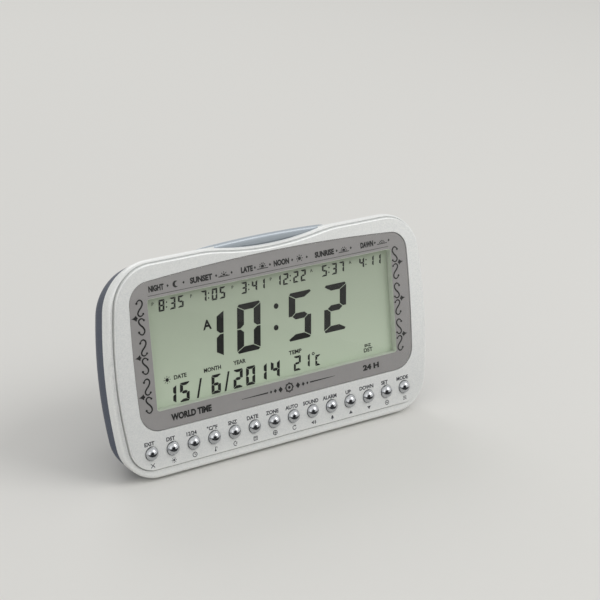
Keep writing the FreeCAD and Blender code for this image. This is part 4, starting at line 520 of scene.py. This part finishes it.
degreeRow = {"width": 3.5, "height": 6.2, "upright": 1.0, "level": 0.9, "gap": 0.07, "base": -20.0,
             "figures": (("2", 6.4), ("1", 10.9)), "ring": (16.6, -14.5), "ringRadius": 0.5, "ringHalf": 0.17}
degreeUnit = dict(degreeRow, width=2.5, height=4.6, figures=(("C", 17.2),))
lit = {"0": "abcdef", "1": "bc", "2": "abged", "3": "abgcd", "4": "fgbc", "5": "afgcd", "6": "afgedc",
       "7": "abc", "8": "abcdefg", "9": "abcdfg", "C": "afed"}
filmLayer = (film["front"], film["thick"])


def barOutlines(look):
    # the seven bars of a figure, mitred where they meet and gap apart, the outer corners cut by the shoulder
    w, h, u, l, k = (look[key] for key in ("width", "height", "upright", "level", "gap"))
    m = h / 2
    c = film["shoulder"] * l
    top = np.array([(k, h - c), (c, h), (w - c, h), (w - k, h - c), (w - u - k, h - l), (u + k, h - l)])
    middle = np.array([(u / 2 + k, m), (u + k, m + l / 2), (w - u - k, m + l / 2), (w - u / 2 - k, m),
                       (w - u - k, m - l / 2), (u + k, m - l / 2)])
    left = np.array([(0, h - c - k), (u, h - l - k), (u, m + l / 2 + k), (u / 2, m + k), (0, m + k)])
    flip, turnOver = np.array([w, 0]), np.array([0, h])
    mirror, over = np.array([-1, 1]), np.array([1, -1])
    return {"a": top, "d": top * over + turnOver, "g": middle, "f": left, "b": left * mirror + flip,
            "e": left * over + turnOver, "c": left * mirror * over + flip + turnOver}


def figure(sign, x, look):
    # the lit bars of one figure, sheared by slant, with its foot at base
    shear = np.array([[1, 0], [film["slant"], 1]])
    bars = barOutlines(look)
    return [plate(bars[bar] @ shear + (x, look["base"]), *filmLayer) for bar in lit[sign]]


def colonDots(x, look):
    # a disc at each of the colon's levels, moved along by slant times the level
    slant, base = film["slant"], look["base"]
    return [disc((x + slant * z, base + z), look["dot"], *filmLayer) for z in look["dotLevels"]]


shapes = []
for sign, x in bigTime["figures"]:
    shapes += figure(sign, x, bigTime)
shapes += colonDots(bigTime["colonAt"], bigTime)
for text, centre in smallTime["times"]:
    steps = len(text) - 2
    wide = steps * smallTime["pitch"] + smallTime["colon"] + smallTime["width"] + smallTime["spare"]
    x = centre - wide / 2
    for sign in text:
        if sign == ":":
            shapes += colonDots(x - smallTime["dotAside"], smallTime)
            x += smallTime["colon"]
        else:
            shapes += figure(sign, x, smallTime)
            x += smallTime["pitch"]
for sign, x in dateRow["figures"]:
    shapes += figure(sign, x, dateRow)
for x in dateRow["slashes"]:
    shapes.append(plate(np.array(dateRow["slash"]) + (x, dateRow["base"]), *filmLayer))
for look in (degreeRow, degreeUnit):
    for sign, x in look["figures"]:
        shapes += figure(sign, x, look)
degreeRing = circlePath(degreeRow["ring"], degreeRow["ringRadius"])
shapes.append(ribbon(degreeRing, degreeRow["ringHalf"], *filmLayer, closed=True))
newPiece("displayFigures", shapes, segmentInk, "case", film["shift"])

# small words on the display as (text, x, z, height, width), the marks for the half of the day, and a sun
screenWords = {"weight": 0.03,
               "words": (("A", -32.8, 7.6, 3.7, 4.0), ("DATE", -47.0, -10.5, 1.6, 5.8),
                         ("MONTH", -32.1, -10.7, 1.6, 8.0), ("YEAR", -19.3, -10.5, 1.6, 5.9),
                         ("TEMP", 7.8, -11.9, 1.6, 6.3), ("SNZ", 44.6, -16.6, 1.2, 3.4),
                         ("DST", 44.7, -18.6, 1.6, 4.6)),
               "halves": (("P", -56.3), ("P", -38.9), ("P", -19.7), ("P", -1.4), ("A", 18.6), ("A", 38.3)),
               "halfLevel": 20.4, "halfHeight": 1.3, "halfWeight": 0.01,
               "sun": (-53.0, -10.8), "sunRadius": 0.75, "rays": 8, "raySpan": (1.05, 1.6), "rayHalf": 0.12}
shapes = [words(text, (x, z), height, *filmLayer, width, screenWords["weight"])
          for text, x, z, height, width in screenWords["words"]]
for text, x in screenWords["halves"]:
    shapes.append(words(text, (x, screenWords["halfLevel"]), screenWords["halfHeight"], *filmLayer, None,
                        screenWords["halfWeight"]))
shapes.append(disc(screenWords["sun"], screenWords["sunRadius"], *filmLayer))
for turn in np.arange(screenWords["rays"]) * 2 * np.pi / screenWords["rays"]:
    ray = np.array(screenWords["sun"]) + np.outer(screenWords["raySpan"], [math.cos(turn), math.sin(turn)])
    shapes.append(ribbon(ray, screenWords["rayHalf"], *filmLayer))
newPiece("displayWords", shapes, segmentInk, "case", film["shift"])
print("display figures set")

# a pale gasket lines the window from the grey print down to the display
gasket = {"halfWidth": 58.86, "halfHeight": 22.46, "corner": 1.1, "half": 0.12, "front": 0.5, "deep": 2.84}


def roundedPath(halfWidth, halfHeight, radius, steps=5):
    # a rectangle whose corners are quarter circles of this radius
    turn = np.linspace(0, np.pi / 2, steps)
    arc = np.column_stack([np.cos(turn), np.sin(turn)]) * radius
    middle = np.array([halfWidth - radius, halfHeight - radius])
    first = arc + middle
    second = arc[::-1] * (-1, 1) + middle * (-1, 1)
    return np.concatenate([first, second, -first, -second])


around = roundedPath(gasket["halfWidth"], gasket["halfHeight"], gasket["corner"])
lining = ribbon(around, gasket["half"], gasket["front"], gasket["deep"], closed=True)
newPiece("windowGasket", [lining], gasketFoam, "case")

# layers under the lens's face: dark ink over a grey ground with the window left open
ink = {"front": 0.3, "thick": 0.03, "ground": 0.36, "inset": 0.998}
inkLayer = (ink["front"], ink["thick"])
mask = nodes["lens_mask"].data
points = nodePoints(mask)
points *= (ink["inset"], ink["thick"] / np.ptp(points[:, 1]), ink["inset"])
points[:, 1] += ink["ground"] - points[:, 1].min()
ground = [(points, [list(polygon.vertices) for polygon in mask.polygons])]
newPiece("groundPrint", ground, warmGreyInk, "case")

# scrolls up both sides: a curl and its mirror image to each unit, with a leaf between them
scroll = {"units": 3, "pitch": 15.7, "first": 15.75, "edge": -60.4, "shift": (-0.75, 0.3),
          "path": [(-2.45, 5.7), (-2.0, 6.45), (-1.05, 6.85), (-0.15, 6.2), (0.0, 5.1), (-0.65, 3.9),
                   (-1.6, 2.9), (-2.2, 1.9), (-2.05, 1.0), (-1.3, 0.5), (-0.5, 0.65), (0.1, 1.25)],
          "steps": 6, "half": 0.34, "thin": 0.55, "swell": 0.45, "fullness": 0.7,
          "ends": ((0, 0.48), (-1, 0.44)), "endSides": 16,
          "leafTips": [(-5.3, 0.0), (-3.15, 1.25), (-2.35, 0.0), (-3.15, -1.25)],
          "leafMiddle": (-3.25, 0.0), "leafPinch": 0.6, "leafSteps": 8,
          "line": [(-57.6, 23.35), (58.4, 23.35)], "lineHalf": 0.08}


def smoothPath(points, steps):
    # Catmull-Rom: between two points, the cubic whose slopes are half the step to their neighbours
    p = np.asarray(points, float)
    p = np.concatenate([[2 * p[0] - p[1]], p, [2 * p[-1] - p[-2]]])
    t = np.linspace(0, 1, steps, endpoint=False)[:, None, None]
    a, b, c, d = p[:-3], p[1:-2], p[2:-1], p[3:]
    bend = 2 * a - 5 * b + 4 * c - d
    runs = (2 * b + (c - a) * t + bend * t ** 2 + (3 * b - a - 3 * c + d) * t ** 3) / 2
    return np.concatenate([runs.transpose(1, 0, 2).reshape(-1, 2), p[-2:-1]])


def leafPath(tips, middle, pinch, steps):
    # from tip to tip along a quadratic curve whose handle lies pinch of the way out from the middle
    tips, middle = np.array(tips), np.array(middle)
    ahead = np.roll(tips, -1, 0)
    handle = middle + ((tips + ahead) / 2 - middle) * pinch
    t = np.linspace(0, 1, steps, endpoint=False)[:, None, None]
    leaf = (1 - t) ** 2 * tips + 2 * t * (1 - t) * handle + t ** 2 * ahead
    return leaf.transpose(1, 0, 2).reshape(-1, 2)


curl = smoothPath(scroll["path"], scroll["steps"])
along = np.linspace(0, 1, len(curl))
curlHalf = scroll["half"] * (scroll["thin"] + scroll["swell"] * np.sin(np.pi * along) ** scroll["fullness"])
leaf = leafPath(scroll["leafTips"], scroll["leafMiddle"], scroll["leafPinch"], scroll["leafSteps"])
shapes = []
for side in (1, -1):
    for unit in range(scroll["units"]):
        origin = np.array([scroll["edge"], scroll["first"] - unit * scroll["pitch"]])
        for over in (1, -1):
            path = (curl * (1, over) + origin) * (side, 1)
            shapes.append(ribbon(path, curlHalf, *inkLayer))
            for end, radius in scroll["ends"]:
                shapes.append(disc(path[end], radius, *inkLayer, scroll["endSides"]))
        shapes.append(plate((leaf + origin) * (side, 1), *inkLayer))
shapes.append(ribbon(scroll["line"], scroll["lineHalf"], *inkLayer))
newPiece("scrollPrint", shapes, darkInk, "case", scroll["shift"])

# signs beside the header's words: a sun over its horizon, a moon, and diamonds
sunLook = {"radius": 0.72, "arcSteps": 20, "raySpan": (1.05, 1.6), "rayHalf": 0.17, "rayClear": 0.01,
           "horizon": 2.6, "horizonDrop": 0.35, "horizonHalf": 0.16}
moonLook = {"radius": 1.35, "arc": (0.28, 1.72), "arcSteps": 22, "hollow": 1.15, "hollowSteps": 16}
diamondTall = 1.2


def sunSign(x, z, low, rays):
    # a circle cut off at the height low below its middle, rays fanned over the rest, and a line under it
    radius = sunLook["radius"]
    start = math.asin(max(low, -radius) / radius)
    turn = np.linspace(start, math.pi - start, sunLook["arcSteps"])
    shapes = [plate(np.column_stack([x + radius * np.cos(turn), z + radius * np.sin(turn)]), *inkLayer)]
    for angle in np.linspace(0, 2 * math.pi, rays, endpoint=False):
        way = np.array([math.cos(angle), math.sin(angle)])
        if way[1] * sunLook["raySpan"][0] > low - sunLook["rayClear"]:
            ray = np.array([x, z]) + np.outer(sunLook["raySpan"], way)
            shapes.append(ribbon(ray, sunLook["rayHalf"], *inkLayer))
    if low > -radius:
        level = z + low - sunLook["horizonDrop"]
        horizon = [(x - sunLook["horizon"], level), (x + sunLook["horizon"], level)]
        shapes.append(ribbon(horizon, sunLook["horizonHalf"], *inkLayer))
    return shapes


def moonSign(x, z):
    # a crescent: an outer arc, and back along an arc about a middle moved to the right
    outer = np.linspace(*np.array(moonLook["arc"]) * np.pi, moonLook["arcSteps"])
    rim = np.column_stack([np.cos(outer), np.sin(outer)]) * moonLook["radius"]
    back = rim[-1] * (1, -1)
    height = np.linspace(-1, 1, moonLook["hollowSteps"])[1:-1, None]
    inner = np.column_stack([rim[0, 0] - moonLook["hollow"] * np.sqrt(1 - height ** 2), height * back[1]])
    return [plate(np.concatenate([rim, inner]) + (x, z), *inkLayer)]


def diamond(x, z, size):
    # four points: size to each side and diamondTall times size up and down
    tall = size * diamondTall
    return plate(np.array([(size, 0), (0, tall), (-size, 0), (0, -tall)]) + (x, z), *inkLayer)


# a bold word for each time of day as (text, left, right), and beside it a small sign between two diamonds:
# a moon at x, or a sun as (x, rise, height of its cut, rays); below the window, (text, x, z, height, width)
header = {"height": 2.1, "z": 26.3, "weight": 0.055, "shift": (-0.5, 0.0), "spread": 3.6, "diamond": 0.5,
          "words": (("NIGHT", -57.4, -50.6), ("SUNSET", -38.8, -28.6), ("LATE", -15.2, -9.6),
                    ("NOON", 0.4, 7.9), ("SUNRISE", 20.6, 30.2), ("DAWN", 43.8, 50.4)),
          "moon": -45.3,
          "suns": ((-23.2, -0.5, 0.0, 8), (-5.0, -0.1, -0.5, 10), (13.0, 0.0, -1.0, 8),
                   (35.2, -0.5, -0.2, 10), (54.9, -1.0, 0.45, 12)),
          "foot": (("WORLD TIME", -43.3, -26.2, 2.4, 18.6), ("24 H", 45.2, -26.0, 2.1, 8.4))}
shapes = [words(text, ((left + right) / 2, header["z"]), header["height"], *inkLayer, right - left,
                header["weight"])
          for text, left, right in header["words"]]
shapes += moonSign(header["moon"], header["z"])
for x, sunRise, low, rays in header["suns"]:
    shapes += sunSign(x, header["z"] + sunRise, low, rays)
for x in (header["moon"], *[sun[0] for sun in header["suns"]]):
    shapes += [diamond(x + side * header["spread"], header["z"], header["diamond"]) for side in (-1, 1)]
shapes += [words(text, (x, z), height, *inkLayer, width, header["weight"])
           for text, x, z, height, width in header["foot"]]
newPiece("headerPrint", shapes, darkInk, "case", header["shift"])

# an eight-pointed star between diamonds and thin lines, an old geometric ornament
star = {"middle": (2.9, -26.1), "radius": 2.1, "half": 0.17, "edgeSteps": 6, "dot": 0.62,
        "diamonds": ((4.3, 1.05), (6.9, 0.75), (9.0, 0.55)), "line": (10.4, 23.0), "lineHalf": (0.28, 0.08)}
shapes = []
starMiddle = np.array(star["middle"])
for start in (0, np.pi / 4):
    corners = start + np.arange(4) * np.pi / 2
    square = starMiddle + star["radius"] * np.column_stack([np.cos(corners), np.sin(corners)])
    edges = [np.linspace(square[i], square[(i + 1) % 4], star["edgeSteps"], endpoint=False) for i in range(4)]
    shapes.append(ribbon(np.concatenate(edges), star["half"], *inkLayer, closed=True))
shapes.append(disc(starMiddle, star["dot"], *inkLayer))
for side in (-1, 1):
    for reach, size in star["diamonds"]:
        shapes.append(diamond(starMiddle[0] + side * reach, starMiddle[1], size))
    line = np.array([(side * reach, 0.0) for reach in star["line"]]) + starMiddle
    shapes.append(ribbon(line, np.array(star["lineHalf"]), *inkLayer))
newPiece("starPrint", shapes, darkInk, "case")
print("lens printing set")

# a word above each key
keyRow = {"first": -63.27, "pitch": 9.58, "z": -38.5, "above": 4.1, "below": -4.9, "aside": -0.7,
          "front": -0.02, "thick": 0.03, "height": 1.5, "weight": 0.04,
          "words": ("EXIT", "DST", "12/24", "°C/°F", "SNZ", "DATE", "ZONE", "AUTO", "SOUND", "ALARM", "UP",
                    "DOWN", "SET", "MODE")}
legendLayer = (keyRow["front"], keyRow["thick"])
shapes = []
for number, text in enumerate(keyRow["words"]):
    x = keyRow["first"] + keyRow["aside"] + number * keyRow["pitch"]
    place = (x, keyRow["z"] + keyRow["above"])
    shapes.append(words(text, place, keyRow["height"], *legendLayer, None, keyRow["weight"]))
newPiece("keyLegends", shapes, legendInk, "case")

# below each key, a small sign for what it does, drawn about the key's centre and scaled by size
signLook = {"half": 0.15, "size": 0.95, "arcSteps": 25, "dotSides": 14, "rays": 8, "raySpan": (0.75, 1.15)}


def stroke(*path):
    # a thin line through these points
    return ribbon(np.array(path) * signLook["size"], signLook["half"], *legendLayer)


def filled(*outline):
    # a plate with these corners
    return plate(np.array(outline) * signLook["size"], *legendLayer)


def ring(radius, start=0.0, end=360.0):
    # a thin arc from start to end degrees
    turn = np.radians(np.linspace(start, end, signLook["arcSteps"]))
    return stroke(*np.column_stack([np.cos(turn), np.sin(turn)]) * radius)


def dot(x, z, radius):
    # a small disc
    size = signLook["size"]
    return disc((x * size, z * size), radius * size, *legendLayer, signLook["dotSides"])


rayTurns = np.arange(signLook["rays"]) * 2 * np.pi / signLook["rays"]
sunRays = [stroke(*np.outer(signLook["raySpan"], [math.cos(turn), math.sin(turn)])) for turn in rayTurns]
keySignShapes = (
    [stroke((-0.9, -0.9), (0.9, 0.9)), stroke((-0.9, 0.9), (0.9, -0.9))],           # leave
    [dot(0, 0, 0.5), *sunRays],                                                     # summer time
    [ring(1.0), stroke((0, 0), (0, 0.7)), stroke((0, 0), (0.5, 0))],                # hours
    [dot(0, -0.7, 0.42), stroke((0, -0.6), (0, 1.0)), stroke((0.5, 0.8), (0.9, 0.8)),
     stroke((0.5, 0.3), (0.9, 0.3))],                                               # thermometer
    [ring(0.95, 70, 290), stroke((0.1, 0.5), (0.8, 0.5), (0.1, -0.3), (0.8, -0.3))],    # snooze
    [stroke((-0.9, -0.9), (0.9, -0.9), (0.9, 0.7), (-0.9, 0.7), (-0.9, -0.9)),
     stroke((-0.9, 0.25), (0.9, 0.25)), dot(-0.3, -0.35, 0.2), dot(0.35, -0.35, 0.2)],  # calendar
    [ring(1.0), stroke((-1.0, 0), (1.0, 0)), stroke((0, -1.0), (0, 1.0))],          # globe
    [ring(0.9, 60, 340), filled((0.2, 1.25), (0.95, 0.75), (0.2, 0.3))],            # round again
    [filled((-1.0, -0.35), (-0.5, -0.35), (0.1, -0.9), (0.1, 0.9), (-0.5, 0.35), (-1.0, 0.35)),
     ring(0.75, -45, 45), ring(1.15, -45, 45)],                                     # loudspeaker
    [filled((-0.9, -0.6), (0.9, -0.6), (0.55, -0.2), (0.5, 0.45), (0, 0.95), (-0.5, 0.45), (-0.55, -0.2)),
     dot(0, -0.85, 0.22)],                                                          # bell
    [filled((-0.95, -0.6), (0.95, -0.6), (0, 0.9))],                                # up
    [filled((-0.95, 0.6), (0.95, 0.6), (0, -0.9))],                                 # down
    [ring(0.95), dot(0, 0, 0.4)],                                                   # set
    [stroke((-0.95, level), (0.95, level)) for level in (-0.65, 0, 0.65)],          # list
)
shapes = []
for number, parts in enumerate(keySignShapes):
    x = keyRow["first"] + number * keyRow["pitch"]
    shapes += [(points + (x, 0, keyRow["z"] + keyRow["below"]), faces) for points, faces in parts]
newPiece("keySigns", shapes, legendInk, "case")
print("key legends set")

# the snooze bar's skin: half, deep and corner give its plan, crest its top, fall the slope behind the nose
snooze = {"half": 31.95, "deep": 7.83, "middle": 12.15, "corner": 7.0, "crest": 38.4, "crown": 1.0,
          "nose": 5.5, "fall": 0.36, "soft": 1.0, "frontRound": 1.7, "rearRound": 0.9, "foot": 30.2,
          "below": 0.1, "slack": 0.01, "along": 81, "over": 31}
joinWithin = {"merge": 0.000001, "cut": 0.0000001}      # metres


def barTop(x, y):
    # the crest, less a parabola towards the ends, less a slope behind the nose that sets in smoothly,
    # less a quarter round where the plan's edge is nearer than its radius
    pastX = np.abs(x) - (snooze["half"] - snooze["corner"])
    pastY = np.abs(y - snooze["middle"]) - (snooze["deep"] - snooze["corner"])
    reach = np.hypot(np.maximum(pastX, 0), np.maximum(pastY, 0)) + np.minimum(np.maximum(pastX, pastY), 0)
    edge = snooze["corner"] - reach
    behind = y - snooze["nose"]
    slope = snooze["fall"] * (np.sqrt(behind ** 2 + snooze["soft"] ** 2) + behind) / 2
    spread = (snooze["middle"] - snooze["deep"], snooze["middle"] + snooze["deep"])
    radius = np.interp(y, spread, (snooze["frontRound"], snooze["rearRound"]))
    near = np.clip(radius - edge, 0, radius)
    ridge = snooze["crest"] - snooze["crown"] * (x / snooze["half"]) ** 2
    return ridge - slope - radius + np.sqrt(radius ** 2 - near ** 2)


def barSkin():
    # a grid over the plan, denser towards its edge: x = half sin, y = middle + half depth at x times sin
    s, t = np.linspace(-1, 1, snooze["along"]), np.linspace(-1, 1, snooze["over"])
    x = snooze["half"] * np.sin(np.pi / 2 * s)[:, None] * np.ones_like(t)
    past = np.maximum(np.abs(x) - (snooze["half"] - snooze["corner"]), 0)
    depth = snooze["deep"] - snooze["corner"] + np.sqrt(snooze["corner"] ** 2 - past ** 2)
    y = snooze["middle"] + depth * np.sin(np.pi / 2 * t)
    top = np.stack([x, y, barTop(x, y)], -1).reshape(-1, 3)
    low = np.column_stack([top[:, :2], np.full(len(top), snooze["foot"])])
    index = np.arange(len(top)).reshape(x.shape)
    roof = np.stack([index[:-1, :-1], index[1:, :-1], index[1:, 1:], index[:-1, 1:]], -1).reshape(-1, 4)
    rim = np.concatenate([index[:-1, 0], index[-1, :-1], index[:0:-1, -1], index[0, :0:-1]])
    ahead = np.roll(rim, -1)
    walls = np.column_stack([rim + len(top), ahead + len(top), ahead, rim])
    return np.concatenate([top, low]), np.concatenate([roof, roof[:, ::-1] + len(top), walls]).tolist()


def barInside():
    # the moulded bar's pegs, ribs and hooks: what lies below the skirt's foot, its cut raised into the skin
    shape = bmesh.new()
    shape.from_mesh(nodes["snooze_bar"].data)
    bmesh.ops.remove_doubles(shape, verts=shape.verts, dist=joinWithin["merge"])
    whole = shape.verts[:] + shape.edges[:] + shape.faces[:]
    level = snooze["foot"] - snooze["below"]
    bmesh.ops.bisect_plane(shape, geom=whole, dist=joinWithin["cut"], plane_co=onFace((0, 0, level)),
                           plane_no=upward, clear_outer=True)
    bmesh.ops.holes_fill(shape, edges=[edge for edge in shape.edges if edge.is_boundary])
    bmesh.ops.recalc_face_normals(shape, faces=shape.faces)
    mesh = bpy.data.meshes.new("barInside")
    shape.to_mesh(mesh)
    shape.free()
    points = nodePoints(mesh)
    points[points[:, 2] > level - snooze["slack"], 2] += snooze["below"] * 2
    return points, [list(polygon.vertices) for polygon in mesh.polygons]


skin = barSkin()
snoozeSkin = newPiece("snoozeSkin", [skin, barInside()], pearlAbs, "snooze")
smooth = np.arange(len(snoozeSkin.data.polygons)) < len(skin[1])
snoozeSkin.data.polygons.foreach_set("use_smooth", smooth)
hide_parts("snooze_bar")
print("snooze bar set")

# marks moulded on the battery door, read from behind
doorMarks = {"word": (-31.0, -7.0), "height": 3.2, "weight": 0.02, "arrow": (-31.0, -15.0), "half": 5.5,
             "outline": [(-1, -0.12), (0.25, -0.12), (0.25, -0.42), (1, 0), (0.25, 0.42), (0.25, 0.12),
                         (-1, 0.12)],
             "raised": 0.22, "sunk": 0.05}
doorBack = nodePoints(nodes["battery_door"].data)[:, 1].max()


def fromBehind(shape, x):
    # half a turn about the upright line through x on the door's back
    points, faces = shape
    return points * (-1, -1, 1) + (2 * x, 2 * doorBack, 0), faces


doorLayer = (doorBack - doorMarks["raised"], doorMarks["raised"] + doorMarks["sunk"])
openWord = words("OPEN", doorMarks["word"], doorMarks["height"], *doorLayer, None, doorMarks["weight"])
openArrow = plate(np.array(doorMarks["outline"]) * doorMarks["half"] + doorMarks["arrow"], *doorLayer)
shapes = [fromBehind(openWord, doorMarks["word"][0]), fromBehind(openArrow, doorMarks["arrow"][0])]
newPiece("doorMarks", shapes, slateAbs, "door")
print("door marks set")
